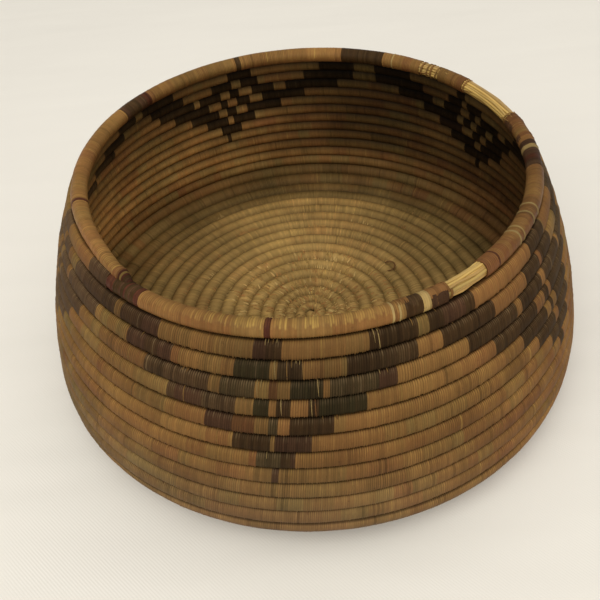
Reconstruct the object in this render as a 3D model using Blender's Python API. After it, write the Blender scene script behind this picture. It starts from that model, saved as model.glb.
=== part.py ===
"""Coiled basket with a rounded belly and a worn rim.

One cord of grass, bound with split strands, is wound from a knot in the middle of the floor,
out to the heel, up the bulging wall and into the rim, where it tapers off on the round below.
The rim round is modelled as its bare grass core with the wrappings that are left on it, because
the core shows where the wrapping has worn away. Lengths are in metres and +Z is up. The origin
is on the axis, at the height of the surface that the basket stands on.
"""
import math

import bmesh
import bpy
import numpy as np
from mathutils import Vector

# Profile of the basket in section, measured to the middle of the cord
RIM_RADIUS = 0.0918
WALL_HEIGHT = 0.0986
RIM_LEAN = math.radians(31)
BELLY_RADIUS = 0.1216
BELLY_HEIGHT = 0.0130
HEEL_WIDTH = 0.0176
RIM_HANDLE_SHARE = 0.43
BELLY_UP_HANDLE_SHARE = 0.12
BELLY_DOWN_HANDLE_SHARE = 0.5
BASE_HANDLE_SHARE = 0.5

# Bound cord
COIL_PITCH = 0.0072
COIL_GAP = 0.0006
START_RADIUS = 0.0075
START_PITCH_SHARE = 0.72
TURNS_TO_FULL_THICKNESS = 4
FLAT_CUT_SHARE = 0.1
LOOP_POINTS = 24
COIL_END_AZIMUTH = math.radians(-139)
RIM_TURNS = 1
SEAT_GAP = 0.0003

# Tail that ends the rim
TAIL_LENGTH = 0.044
TAIL_TIP_SHARE = 0.55

# Wrapping of the rim
WRAP_THICKNESS = 0.0005
WRAP_SIDES = 10

# Start knot
KNOT_EDGE = 0.0009
KNOT_EDGE_STEPS = 3

# How finely curves are followed, and how far a cutter runs past what it cuts
PROFILE_STEPS = 400
RUN_STEPS = 4
CUT_OVERRUN = 0.005

# Stretches of the wall's cord, from the rim down: name and colour
WALL_COILS = (
    ("neck_coil", "tan"),
    ("shoulder_coil", "tan"),
    ("belly_coil", "brown"),
    ("heel_coil", "brown"),
)

# Wrappings left on the rim: name, colour, and degrees round from the cord's end, anticlockwise
RIM_WRAPS = (
    ("rim_wrap_dark_left_front", "dark", 0, 10),
    ("rim_wrap_tan_front_left", "tan", 10, 37.7),
    ("rim_tick_front", "dark", 37.7, 39.3),
    ("rim_wrap_tan_front_right", "tan", 39.3, 64),
    ("rim_wrap_dark_right_front", "dark", 64, 69.2),
    ("rim_binding_pale_right_front", "pale", 69.2, 71),
    ("rim_wrap_dark_right_front_end", "dark", 71, 75),
    ("rim_wrap_tan_right_front", "tan", 85.5, 124.7),
    ("rim_wrap_dark_right", "red", 124.7, 136),
    ("rim_wrap_tan_right", "tan", 136, 148),
    ("rim_wrap_tan_back_right", "tan", 169.5, 179),
    ("rim_wrap_tan_back", "tan", 186, 198.7),
    ("rim_wrap_dark_back", "dark", 198.7, 212.3),
    ("rim_wrap_tan_back_left", "tan", 212.3, 245.3),
    ("rim_tick_back_left", "dark", 245.3, 246.9),
    ("rim_wrap_tan_left_back", "tan", 246.9, 277),
    ("rim_wrap_dark_back_left", "dark", 277, 290),
    ("rim_wrap_tan_left", "tan", 290, 333),
    ("rim_tick_left", "red", 333, 334.6),
    ("rim_wrap_tan_tail", "tan", 334.6, 360),
)

COLOURS = {
    "tan": (0.36, 0.20, 0.08),
    "olive": (0.27, 0.18, 0.08),
    "brown": (0.25, 0.14, 0.07),
    "dark": (0.055, 0.035, 0.028),
    "red": (0.12, 0.035, 0.028),
    "pale": (0.60, 0.45, 0.24),
    "straw": (0.52, 0.38, 0.17),
}
ROUGHNESS = 0.72


def clear_scene():
    """Remove the objects that the file opened with."""
    for thing in list(bpy.data.objects):
        bpy.data.objects.remove(thing, do_unlink=True)


def make_material(name):
    """Plain plant fibre in one of the named colours."""
    material = bpy.data.materials.new(name)
    material.use_nodes = True
    shader = material.node_tree.nodes["Principled BSDF"]
    shader.inputs["Base Color"].default_value = (*COLOURS[name], 1)
    shader.inputs["Roughness"].default_value = ROUGHNESS
    shader.inputs["Metallic"].default_value = 0
    return material


def bezier(points, share):
    """A point of a cubic curve, a share of the way along its parameter."""
    rest = 1 - share
    first, first_handle, last_handle, last = points
    return (
        first * rest**3
        + first_handle * (3 * rest * rest * share)
        + last_handle * (3 * rest * share * share)
        + last * share**3
    )


def make_profile():
    """The middle of the cord in section, from the rim down the wall and along the floor.

    Each entry is a distance along the profile, with the radius and height that it reaches.
    """
    rim = Vector((RIM_RADIUS, WALL_HEIGHT))
    belly = Vector((BELLY_RADIUS, BELLY_HEIGHT))
    base = Vector((BELLY_RADIUS - HEEL_WIDTH, 0))
    lean = Vector((math.sin(RIM_LEAN), -math.cos(RIM_LEAN)))
    upper = (
        rim,
        rim + lean * ((rim - belly).length * RIM_HANDLE_SHARE),
        belly + Vector((0, (WALL_HEIGHT - BELLY_HEIGHT) * BELLY_UP_HANDLE_SHARE)),
        belly,
    )
    lower = (
        belly,
        belly - Vector((0, BELLY_HEIGHT * BELLY_DOWN_HANDLE_SHARE)),
        base + Vector((HEEL_WIDTH * BASE_HANDLE_SHARE, 0)),
        base,
    )
    points = [bezier(upper, step / PROFILE_STEPS) for step in range(PROFILE_STEPS + 1)]
    points += [bezier(lower, (step + 1) / PROFILE_STEPS) for step in range(PROFILE_STEPS)]
    points.append(Vector((0, 0)))
    entries = [(0, points[0])]
    for before, after in zip(points, points[1:]):
        entries.append((entries[-1][0] + (after - before).length, after))
    return entries


class Coil:
    """The bound cord, followed in turns counted back from its end at the rim."""

    def __init__(self):
        self.profile = make_profile()
        self.length = self.profile[-1][0]
        thin_loss = TURNS_TO_FULL_THICKNESS * (1 - START_PITCH_SHARE) / 2
        self.turns = (self.length - START_RADIUS) / COIL_PITCH + thin_loss
        floor_radius = BELLY_RADIUS - HEEL_WIDTH
        self.heel_turns = math.floor((self.length - floor_radius) / COIL_PITCH)
        wall_turns = self.heel_turns - RIM_TURNS
        stretches = len(WALL_COILS)
        self.wall_ends = [RIM_TURNS + wall_turns * end // stretches for end in range(stretches + 1)]
        self.tail_turns = TAIL_LENGTH / (2 * math.pi * RIM_RADIUS)

    def on_profile(self, distance):
        """Radius and height of the profile at a distance from the rim."""
        low, high = 0, len(self.profile) - 1
        while high - low > 1:
            middle = (low + high) // 2
            if self.profile[middle][0] <= distance:
                low = middle
            else:
                high = middle
        near, near_point = self.profile[low]
        far, far_point = self.profile[high]
        return near_point.lerp(far_point, (distance - near) / (far - near))

    def body_radius(self, turns):
        """Radius of the bound cord before its tail thins. It starts thinner in the middle."""
        grown = min(max(self.turns - turns, 0) / TURNS_TO_FULL_THICKNESS, 1)
        pitch = COIL_PITCH * (START_PITCH_SHARE + (1 - START_PITCH_SHARE) * grown)
        return (pitch - COIL_GAP) / 2

    def radius(self, turns):
        """Radius of the bound cord, thinned along its tail."""
        along = min(turns / self.tail_turns, 1)
        return self.body_radius(turns) * (TAIL_TIP_SHARE + (1 - TAIL_TIP_SHARE) * along)

    def distance(self, turns):
        """Distance of the cord's middle along the profile. The tail sinks as it thins."""
        from_start = self.turns - turns
        if from_start < TURNS_TO_FULL_THICKNESS:
            rounds = START_PITCH_SHARE * from_start
            rounds += (1 - START_PITCH_SHARE) * from_start**2 / (2 * TURNS_TO_FULL_THICKNESS)
            return self.length - START_RADIUS - COIL_PITCH * rounds
        return COIL_PITCH * turns + self.body_radius(turns) - self.radius(turns)

    def point(self, turns):
        """Middle of the cord, which winds anticlockwise on its way out and up."""
        radius, height = self.on_profile(self.distance(turns))
        angle = COIL_END_AZIMUTH - 2 * math.pi * turns
        seat = self.body_radius(turns) * (1 - 2 * FLAT_CUT_SHARE)
        return Vector((radius * math.cos(angle), radius * math.sin(angle), height + seat))

    def corner(self, index):
        """Turns at a corner of the faceted cord, whose whole turns fall in mid-run."""
        return max((index + 0.5) / LOOP_POINTS, 0)

    def on_run(self, turns):
        """A point on the straight run between two corners."""
        index = math.floor(turns * LOOP_POINTS - 0.5)
        outer, inner = self.corner(index), self.corner(index + 1)
        return self.point(outer).lerp(self.point(inner), (turns - outer) / (inner - outer))

    def corners_between(self, start, end):
        """Turns at the corners between two places, from the inner place outward."""
        first = math.ceil(start * LOOP_POINTS - 0.5) - 1
        last = math.floor(end * LOOP_POINTS - 0.5) + 1
        return [self.corner(index) for index in range(first, last - 1, -1)]

    def turns_along(self, turns, length):
        """Share of a turn that a length of cord takes at a place."""
        return length / (2 * math.pi * self.point(turns).xy.length)

    def stretch(self, start, end):
        """Path of the cord between two mid-run places, with half a seat gap left at each."""
        start -= self.turns_along(start, SEAT_GAP / 2)
        end += self.turns_along(end, SEAT_GAP / 2)
        places = [start, *self.corners_between(start, end), end]
        return [self.on_run(turns) for turns in places], [self.radius(turns) for turns in places]

    def first_stretch(self, end):
        """Path of the cord from its start, where it runs straight for one diameter."""
        straight = self.turns_along(self.turns, 2 * self.radius(self.turns))
        end += self.turns_along(end, SEAT_GAP / 2)
        places = [self.turns, *self.corners_between(self.turns - straight, end), end]
        path = [self.point(turns) for turns in places[:-1]]
        path.append(self.on_run(end))
        return path, [self.radius(turns) for turns in places]


def along_path(path, radii):
    """Points and radii spaced evenly on each straight run of a path."""
    places = []
    for index, (before, after) in enumerate(zip(path, path[1:])):
        for step in range(RUN_STEPS):
            share = step / RUN_STEPS
            radius = radii[index] * (1 - share) + radii[index + 1] * share
            places.append((before.lerp(after, share), radius))
    places.append((path[-1], radii[-1]))
    return places


def print_least_gap(name, path, radii):
    """Measure how near the rounds of a cord come to each other."""
    places = along_path(path, radii)
    middles = np.array([tuple(place) for place, radius in places])
    sizes = np.array([radius for place, radius in places])
    half_loop = LOOP_POINTS * RUN_STEPS // 2
    least = math.inf
    for index in range(len(places) - half_loop):
        apart = np.linalg.norm(middles[index + half_loop:] - middles[index], axis=1)
        least = min(least, (apart - sizes[index + half_loop:] - sizes[index]).min())
    print(f"{name}: least gap between rounds {least * 1000:.2f} mm")


def make_cord(name, path, radii, material):
    """A cord along a path: a curve with a round section and closed ends."""
    curve = bpy.data.curves.new(name, "CURVE")
    curve.dimensions = "3D"
    curve.twist_mode = "Z_UP"
    curve.bevel_depth = COIL_PITCH
    curve.bevel_resolution = 1
    curve.use_fill_caps = True
    spline = curve.splines.new("POLY")
    spline.points.add(len(path) - 1)
    for point, place, radius in zip(spline.points, path, radii):
        point.co = (*place, 1)
        point.radius = radius / COIL_PITCH
    curve.materials.append(material)
    cord = bpy.data.objects.new(name, curve)
    bpy.context.collection.objects.link(cord)
    return cord


def link_mesh(name, shape, material):
    """Close a bmesh into a named object, with its faces turned outward."""
    bmesh.ops.recalc_face_normals(shape, faces=shape.faces)
    mesh = bpy.data.meshes.new(name)
    shape.to_mesh(mesh)
    shape.free()
    mesh.materials.append(material)
    made = bpy.data.objects.new(name, mesh)
    bpy.context.collection.objects.link(made)
    return made


def make_floor_coil(coil, material):
    """The floor's rounds, cut flat underneath where the basket stands."""
    path, radii = coil.first_stretch(coil.heel_turns)
    print_least_gap("floor_coil", path, radii)
    cord = make_cord("floor_coil_cord", path, radii, material)
    evaluated = cord.evaluated_get(bpy.context.evaluated_depsgraph_get())
    mesh = bpy.data.meshes.new_from_object(evaluated)
    bpy.data.objects.remove(cord, do_unlink=True)
    floor = bpy.data.objects.new("floor_coil", mesh)
    bpy.context.collection.objects.link(floor)

    reach = BELLY_RADIUS + COIL_PITCH + CUT_OVERRUN
    depth = COIL_PITCH + CUT_OVERRUN
    shape = bmesh.new()
    bmesh.ops.create_cube(shape, size=1)
    bmesh.ops.scale(shape, vec=(2 * reach, 2 * reach, depth), verts=shape.verts)
    bmesh.ops.translate(shape, vec=(0, 0, -depth / 2), verts=shape.verts)
    cutter = link_mesh("floor_flat_cutter", shape, material)
    cutter.hide_render = True
    cutter.display_type = "WIRE"
    cut = floor.modifiers.new("flat underside", "BOOLEAN")
    cut.operation = "DIFFERENCE"
    cut.object = cutter
    return floor


def make_wall_coil(name, coil, start, end, material):
    """Rounds of the wall between two whole turns, as one unbroken cord."""
    path, radii = coil.stretch(start, end)
    print_least_gap(name, path, radii)
    return make_cord(name, path, radii, material)


def wrap_bore(cord_radius):
    """Inner radius of a wrapping on a cord."""
    return cord_radius - WRAP_THICKNESS


def make_rim_core(coil, material):
    """The bare grass bundle of the rim, a seat gap inside its wrappings."""
    path, radii = coil.stretch(RIM_TURNS, 0)
    flat_share = math.cos(math.pi / WRAP_SIDES)
    cores = [wrap_bore(radius) * flat_share - SEAT_GAP for radius in radii]
    return make_cord("rim_core", path, cores, material)


def ring_points(middle, radius):
    """Corners of a round section that stands in a plane through the basket's axis."""
    outward = Vector((middle.x, middle.y, 0)).normalized()
    corners = []
    for side in range(WRAP_SIDES):
        angle = 2 * math.pi * side / WRAP_SIDES
        corners.append(middle + (outward * math.cos(angle) + Vector((0, 0, 1)) * math.sin(angle)) * radius)
    return corners


def make_rim_wrap(name, coil, start_degrees, end_degrees, material):
    """A length of wrapping: a thin tube round the core, open at both ends."""
    start = RIM_TURNS - start_degrees / 360
    end = RIM_TURNS - end_degrees / 360
    start -= coil.turns_along(start, SEAT_GAP / 2)
    end += coil.turns_along(end, SEAT_GAP / 2)
    shape = bmesh.new()
    rings = []
    for turns in [start, *coil.corners_between(start, end), end]:
        middle = coil.on_run(turns)
        radius = coil.radius(turns)
        outer = [shape.verts.new(corner) for corner in ring_points(middle, radius)]
        inner = [shape.verts.new(corner) for corner in ring_points(middle, wrap_bore(radius))]
        rings.append((outer, inner))
    for side in range(WRAP_SIDES):
        after = (side + 1) % WRAP_SIDES
        for near, far in zip(rings, rings[1:]):
            for near_ring, far_ring in zip(near, far):
                shape.faces.new((near_ring[side], near_ring[after], far_ring[after], far_ring[side]))
        for outer, inner in (rings[0], rings[-1]):
            shape.faces.new((outer[side], outer[after], inner[after], inner[side]))
    wrap = link_mesh(name, shape, material)
    wrap.data.shade_smooth()
    wrap.data.set_sharp_from_angle(angle=math.radians(60))
    return wrap


def knot_outline(coil):
    """Outline of the knot, a seat gap inside the first round, with a step for the cord's end."""
    path, radii = coil.first_stretch(coil.heel_turns)
    places = along_path(path, radii)
    start = places[0][0]
    onward = (places[1][0] - start).xy.normalized()
    outline = []
    for (place, radius), (after, after_radius) in zip(places, places[1:]):
        direction = (after - place).xy.normalized()
        inward = Vector((-direction.y, direction.x))
        edge = place.xy + inward * (radius + SEAT_GAP)
        came_round = len(outline) > LOOP_POINTS * RUN_STEPS / 2 and edge.dot(start.xy) > 0
        if came_round and (edge - start.xy).dot(onward) > -SEAT_GAP:
            break
        outline.append(edge)
    toward_axis = Vector((-onward.y, onward.x))
    step_face = start.xy - onward * SEAT_GAP
    reach = (outline[-1] - step_face).dot(toward_axis)
    outline.append(step_face + toward_axis * reach)
    outline.append(step_face + toward_axis * (radii[0] + SEAT_GAP))
    return outline


def make_start_knot(coil, material):
    """The knot that the cord starts from, a low button with a rounded upper edge."""
    outline = knot_outline(coil)
    height = 2 * coil.radius(coil.turns) * (1 - FLAT_CUT_SHARE)
    size = max(place.length for place in outline)
    shape = bmesh.new()
    rings = [[shape.verts.new((*place, 0)) for place in outline]]
    for step in range(KNOT_EDGE_STEPS + 1):
        turn = math.pi / 2 * step / KNOT_EDGE_STEPS
        share = 1 - KNOT_EDGE * (1 - math.cos(turn)) / size
        level = height - KNOT_EDGE * (1 - math.sin(turn))
        rings.append([shape.verts.new((*(place * share), level)) for place in outline])
    for lower, upper in zip(rings, rings[1:]):
        for index in range(len(outline)):
            after = (index + 1) % len(outline)
            shape.faces.new((lower[index], lower[after], upper[after], upper[index]))
    shape.faces.new(list(reversed(rings[0])))
    shape.faces.new(rings[-1])
    knot = link_mesh("start_knot", shape, material)
    knot.data.shade_smooth()
    knot.data.set_sharp_from_angle(angle=math.radians(50))
    return knot


def main():
    """Build the basket from its middle outward."""
    clear_scene()
    materials = {name: make_material(name) for name in COLOURS}
    coil = Coil()
    print(f"turns in all {coil.turns:.2f}, with the wall parted at {coil.wall_ends}")
    make_start_knot(coil, materials["straw"])
    make_floor_coil(coil, materials["olive"])
    for (name, colour), end, start in zip(WALL_COILS, coil.wall_ends, coil.wall_ends[1:]):
        make_wall_coil(name, coil, start, end, materials[colour])
    make_rim_core(coil, materials["straw"])
    for name, colour, start_degrees, end_degrees in RIM_WRAPS:
        make_rim_wrap(name, coil, start_degrees, end_degrees, materials[colour])


main()
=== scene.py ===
"""Coiled basket: the sewn cord, its worn rim and a plain stage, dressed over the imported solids."""
import math

import bpy
import numpy as np
from bpy.props import FloatProperty, FloatVectorProperty, IntProperty, PointerProperty
from mathutils import Matrix, Vector


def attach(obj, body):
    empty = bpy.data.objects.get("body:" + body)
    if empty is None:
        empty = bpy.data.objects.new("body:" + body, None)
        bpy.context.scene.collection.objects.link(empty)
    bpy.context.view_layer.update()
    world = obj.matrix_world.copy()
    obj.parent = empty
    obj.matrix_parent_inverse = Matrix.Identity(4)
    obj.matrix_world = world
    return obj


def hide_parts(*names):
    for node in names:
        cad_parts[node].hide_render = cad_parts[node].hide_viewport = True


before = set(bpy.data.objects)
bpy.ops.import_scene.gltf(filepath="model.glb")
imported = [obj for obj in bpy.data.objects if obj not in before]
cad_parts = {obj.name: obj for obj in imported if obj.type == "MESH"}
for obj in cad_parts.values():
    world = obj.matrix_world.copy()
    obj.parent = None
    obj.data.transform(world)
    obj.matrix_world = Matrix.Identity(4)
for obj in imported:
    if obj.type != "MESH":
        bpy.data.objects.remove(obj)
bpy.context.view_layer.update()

bl_info = {
    "name": "Coiled basket",
    "version": (1, 0, 0),
    "blender": (4, 5, 0),
    "location": "3D View > Sidebar > Basket",
    "description": "Makes a coiled basket: sewn rounds, worn rim, start of the cord and a stage",
    "category": "Add Mesh",
}

# Where the cord ends on the rim, how its start thins towards the middle, and the knot's turns
CORD_END_DEGREES = -139
START_PITCH_SHARE = 0.72
TURNS_TO_FULL_THICKNESS = 4
KNOT_TURNS = 1.3

# The cord's tail: how thin it gets, how far it sinks and how far it runs past the cord's end
TAIL_TIP_SHARE = 0.72
TAIL_SAG = 0.0024
TAIL_OVERHANG_DEGREES = 2.2

# How high the cord's middle lies over the wall's curve, how far the curve's handles reach, and
# the steps along each of its parts
SEAT_SHARE = 0.8
RIM_HANDLE_SHARE = 0.43
BELLY_UP_HANDLE_SHARE = 0.12
BELLY_DOWN_HANDLE_SHARE = 0.5
BASE_HANDLE_SHARE = 0.5
PROFILE_STEPS = 400

# Angles round the section of the cord, from its outer crown over the lower seam
SECTION_DEGREES = (0, 20, 40, 57, 72, 90, 112, 130, 155, 180, -155, -130, -112, -90, -72, -57, -40, -20)

# How square the cord's section is outside and inside, and how far it reaches into its seams
CROWN_FULLNESS = 3.0
INNER_FULLNESS = 2.0
RIM_FULLNESS = 2.15
SEAM_REACH = 0.518
INNER_WALL_REACH = 0.56
FLOOR_REACH = 0.63

# Turns that the slow drifts along the cord cover, and each drift's seed, steps in one turn and size
DRIFT_TURNS = 34
SWELL = (11, 90, 0.00005)
SWAY = (12, 14, 0.00012)
HUE_DRIFT = (21, 26, 0.10)
TONE_DRIFT = (22, 30, 0.07)
WEAR_DRIFT = (23, 40, 0.08)

# Places across one strand, with how far it stands up there
STRAND_STEPS = ((0.0, 0.0), (0.5, 1.0))

# How far single strands differ in width, and by how much they can
WIDTH_SPREAD = 0.11
WIDTH_LIMITS = (0.6, 1.5)

# How unevenly strands stand on the wall, on the floor, on the rim and in its loose places; and
# how far a single strand stands out, and the share of strands that don't
WALL_ROUGHNESS = 0.00002
FLOOR_ROUGHNESS = 0.00006
RIM_ROUGHNESS = 0.00003
LOOSE_ROUGHNESS = 0.00012
STANDOUT_LIFT = 0.00012
LEVEL_SHARE = 0.98

# How far strands bite into the round below: mean and spread, limits, and how far all of them
# are drawn back
BITE = 0.00028
BITE_LIMITS = (-0.0002, 0.0009)
BITE_BACK = 0.00006

# Section of a thin strand laid by itself: shares across and up
RIBBON_SECTION = ((-1, -0.6), (-0.8, 0.6), (0, 1), (0.8, 0.6), (1, -0.6), (0, -1))

# Stretches of the wall, from the rim down: name, first and last round, node and slot
WALL_STRETCHES = (
    ("neck", 2, 4, "neck_coil", "tan"),
    ("shoulder", 5, 8, "shoulder_coil", "tan"),
    ("belly", 9, 11, "belly_coil", "brown"),
    ("heel", 12, 15, "heel_coil", "brown"),
)
LAST_WALL_ROUND = 15

# Dyes: material, tone, hue (0 cool, 1 warm), wear, and how much single strands differ
DYES = {
    "tan": ("tan", 0.50, 0.50, 0.06, 0.09),
    "gold": ("tan", 0.56, 0.36, 0.10, 0.11),
    "bright": ("tan", 0.66, 0.66, 0.05, 0.09),
    "warm": ("tan", 0.50, 0.72, 0.05, 0.09),
    "dull": ("tan", 0.34, 0.34, 0.02, 0.12),
    "brown": ("tan", 0.04, 0.90, 0.00, 0.10),
    "rust": ("tan", 0.46, 0.95, 0.05, 0.08),
    "olive": ("tan", 0.42, 0.18, 0.10, 0.10),
    "worn": ("tan", 0.28, 0.10, 0.35, 0.14),
    "dark": ("dark", 0.46, 0.50, 0.06, 0.20),
    "green": ("dark", 0.50, 0.08, 0.05, 0.16),
    "moss": ("dark", 0.85, 0.22, 0.22, 0.22),
    "plum": ("dark", 0.62, 0.95, 0.10, 0.16),
    "faded": ("dark", 0.64, 0.62, 0.22, 0.24),
    "red": ("red", 0.50, 0.50, 0.08, 0.12),
    "pale": ("pale", 0.40, 0.50, 0.10, 0.10),
}
STRAND_KINDS = ("tan", "dark", "red", "pale")

# Chart of the stepped zigzag, for each round counted down from the rim: degrees round the
# basket with the dye of the strands between them, or a dot where they are undyed
CHART = {
    2: """-139 dark -135.3 olive -133 dark -127 plum -123.3 . -103.1 plum -101 dark -97.7 . -81.7 dark -72
        olive -69.3 dark -66 plum -61 dark -58.6 warm -39.7 dark -31 . -18 dark -8 . -4 dark 6 . 30.3 dark
        33.4 . 51 dark 62.9 worn 69.7 dark 81 . 103 dark 110.7 . 130.5 dark 143 . 145.5 dark 154 . 193
        dark 199.5 . 213.6 dark 221""",
    3: """-138 gold -131 . -130.8 plum -126 dark -123 plum -119.7 . -106.8 green -100.3 dull -98.6 dark
        -93.9 . -86 dark -72.5 gold -67.6 dark -54.3 warm -43.9 dark -37.2 . -36 dark -29 . -21.5 dark -8
        . -4 dark 9.5 . 25 dark 31 . 32.9 dark 38.2 . 47.1 dark 62.9 worn 69.7 . 70.5 dark 86 . 101 dark
        106.5 . 109.5 dark 116 . 126.2 dark 138.5 . 150 dark 160.5 . 189.5 dark 195.5 . 197.2 dark 202 .
        207.8 dark 221""",
    4: """-125.8 faded -111.8 dull -109.4 moss -102.8 gold -100.8 . -100.6 brown -98.9 dull -96.7 green
        -90.9 . -89.4 moss -80.6 plum -77 gold -62 dark -48.6 gold -47.2 dark -38.6 gold -36.7 dark -26 .
        -25 dark -14.5 . 3.7 dark 16 gold 18.7 . 19.2 dark 26.6 . 27.1 gold 29.2 dark 31.3 . 31.8 gold
        34.2 . 34.5 dark 40.5 . 40.8 gold 43.7 . 44.5 dark 56.3 . 75.8 dark 91.8 . 92.5 gold 95.5 dark
        102.7 . 106.7 dark 110 gold 113 dark 120 gold 122 dark 134.5 . 154 dark 165 . 184.8 dark 191.4 .
        193.6 dark 195.3 . 197.5 dark 203.3 . 204.7 dark 219""",
    5: """-120.3 faded -118.9 plum -113 faded -106.8 dull -103.3 green -100.6 . -99.2 dark -96.6 bright
        -93.4 dark -91.8 green -83.3 . -61 rust -56.4 dark -42.7 gold -38.9 dark -36.7 gold -35.3 dark -20
        . 15 dark 22.9 gold 25.5 dark 29.5 gold 31.6 dark 34.5 gold 36.3 . 36.6 dark 48.2 worn 51 . 86
        dark 99.5 gold 103 . 103.2 dark 107.5 . 110.5 dark 112.5 . 116.5 dark 128.2 . 163 dark 175 . 180
        dark 186 . 190.4 dark 193.1 . 194.5 dark 197.1 . 198.3 dark 213""",
    6: """-121.7 gold -118.3 . -112.6 plum -107.2 brown -103.1 dull -100.8 moss -99.2 bright -97.2 dark
        -89.2 . -52.5 gold -48.6 dark -39.4 gold -37 dark -36 gold -34 dark -25 . 19.7 dark 26.6 . 26.8
        gold 28.9 . 29 dark 31.8 gold 34.5 . 35.5 plum 43.7 . 93.5 dark 104.2 . 107.5 dark 110.5 . 113
        dark 122.5 . 169 dark 181 . 183 dark 190 . 192 dark 193.5 . 194.5 dark 208""",
    7: """-107.4 dark -100.8 dull -99.7 plum -93.4 . -43.9 dark -36.1 gold -34.2 dark -26 . 21.3 dark 29.5 .
        29.7 gold 31.3 . 31.8 dark 40 . 101.7 dark 108.5 . 110.2 dark 117.2 . 176 dark 188.5 . 191 dark
        204""",
    8: """-104.7 rust -103.3 moss -99 dark -97.2 plum -96.5 . -38.9 dark -28.3 . 27.1 dark 36 . 106.2 dark
        112.2 . 182 dark 187.5 . 188.5 dark 198""",
    9: """-104 dull -100.6 plum -99.3 dull -97 . -35.3 dark -33 . 31.2 dark 32.6 . 109.5 dark 110.7 . 185.5
        dark 192.5""",
    10: """-103 dull -98 . 187.5 dark 189""",
    11: """-116 gold -112 . -98 gold -94""",
}

# Long stitches that reach down over each round: degrees round the basket, dye and how much of the
# round's height they cover
LONG_STITCHES = {
    2: ((-100.9, "pale", 0.45), (-100.3, "pale", 0.35), (-99.4, "gold", 0.4), (-98.7, "pale", 0.35),
        (-80.5, "pale", 0.6), (-79.7, "pale", 0.9), (-72.8, "gold", 0.5)),
    3: ((-97.0, "gold", 0.9), (-96.1, "gold", 0.5), (-95.3, "pale", 0.35), (-94.6, "pale", 0.4),
        (-94.1, "gold", 0.9), (-99.2, "pale", 0.8)),
    4: ((-102.5, "pale", 0.8), (-101.8, "pale", 0.5), (-91.6, "pale", 0.7), (-80.3, "pale", 0.4)),
    5: ((-116.8, "gold", 0.8), (-105.2, "pale", 0.3), (-98.4, "pale", 0.7), (-93.0, "pale", 0.8),
        (-92.3, "rust", 1.0)),
    6: ((-112.9, "gold", 1.0), (-53.1, "gold", 0.9)),
    7: ((-110.2, "gold", 0.8), (-75.0, "gold", 0.7)),
    8: ((-101.3, "pale", 0.5),),
    10: ((-60.1, "gold", 0.7), (-57.2, "gold", 0.7)),
    11: ((-78.2, "gold", 0.7),),
    12: ((-118.0, "gold", 0.8), (-58.1, "gold", 0.7)),
}

# Strands left on the rim: node, slot, dye, and degrees round from the cord's end, anticlockwise
RIM_STRANDS = (
    ("rim_wrap_dark_left_front", "dark", "dark", 0, 10),
    ("rim_wrap_tan_front_left", "tan", "tan", 10, 37.9),
    ("rim_tick_front", "dark", "red", 37.9, 39.1),
    ("rim_wrap_tan_front_right", "tan", "tan", 39.1, 64),
    ("rim_wrap_dark_right_front", "dark", "dark", 64, 69.2),
    ("rim_binding_pale_right_front", "pale", "pale", 69.2, 71),
    ("rim_wrap_dark_right_front_end", "dark", "rust", 71, 75),
    ("rim_wrap_tan_right_front", "tan", "tan", 85.5, 124.7),
    ("rim_wrap_dark_right", "red", "red", 124.7, 136),
    ("rim_wrap_tan_right", "tan", "tan", 136, 148),
    ("rim_wrap_tan_back_right", "tan", "tan", 169.5, 179),
    ("rim_wrap_tan_back", "tan", "tan", 186, 198.7),
    ("rim_wrap_dark_back", "dark", "dark", 198.7, 212.3),
    ("rim_wrap_tan_back_left", "tan", "tan", 212.3, 245.3),
    ("rim_tick_back_left", "dark", "dark", 245.3, 246.9),
    ("rim_wrap_tan_left_back", "tan", "tan", 246.9, 277),
    ("rim_wrap_dark_back_left", "dark", "dark", 277, 290),
    ("rim_wrap_tan_left", "tan", "tan", 290, 333.3),
    ("rim_tick_left", "red", "red", 333.3, 334.3),
    ("rim_wrap_tan_tail", "tan", "tan", 334.3, 360),
)

# Turns on the rim that differ from their stretch: degrees from the cord's end with the dye
# between them, or a dot where they are like the rest
RIM_DYES = """
0 red 2.6 . 4.2 plum 4.8 . 5.6 red 6.3 . 7.2 plum 7.7 . 8.7 red 10 . 64.4 gold 65.3 . 71 warm 72.6
rust 75 . 85.5 rust 89.2 red 89.7 warm 91.2 rust 93 gold 94.2 . 96 warm 98.5 . 124.7 plum 127.2 red
129.6 plum 132 pale 132.7 plum 135.4 bright 137.5 rust 139 gold 141.5 . 144 rust 148 . 169.5 rust
171.5 . 277 rust 278.6 red 280.6 plum 283 . 288 plum 290 . 314 bright 322 . 325 gold 329 . 337 gold
342 . 347 warm 350
"""

# Directions round the basket of single pale turns that lie over the rim's wrappings, with half
# their width in degrees and their lift; places where turns stand up loosely, with the widths
# of these places; and how far the rust turns at the tail reach
OVERCAST_DEGREES = (-41, -39, -33, -30, -76, -74.8, -5.9, 56.4)
OVERCAST_HALF_WIDTH = 0.26
OVERCAST_LIFT = 0.0002
LOOSE_PLACES = ((4, 10), (-135, 6))
RUST_TAIL_TURNS = 0.004

# Strands that bind the cord's end down, from the tail on, over how many degrees and how far
# down, and the points round each
TIP_DYES = ("rust", "red", "worn", "red", "dark", "plum", "red", "dark", "red")
TIP_DEGREES = 4.4
TIP_DROP = 0.0026
TIP_SIDES = 20

# Seeds, and numbers of stray stitches: short ends on each round, rows on the floor, stitches
# on the cord's first rounds and on the knot; and degrees between stitches on the rim
STITCH_SEED = 401
LOOSE_SEED = 57
GRASS_SEED = 77
SHORT_ENDS = 34
FLOOR_ROWS = 210
START_STITCHES = 760
KNOT_STITCHES = 90
RIM_STITCH_SPACING = 0.44

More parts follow.
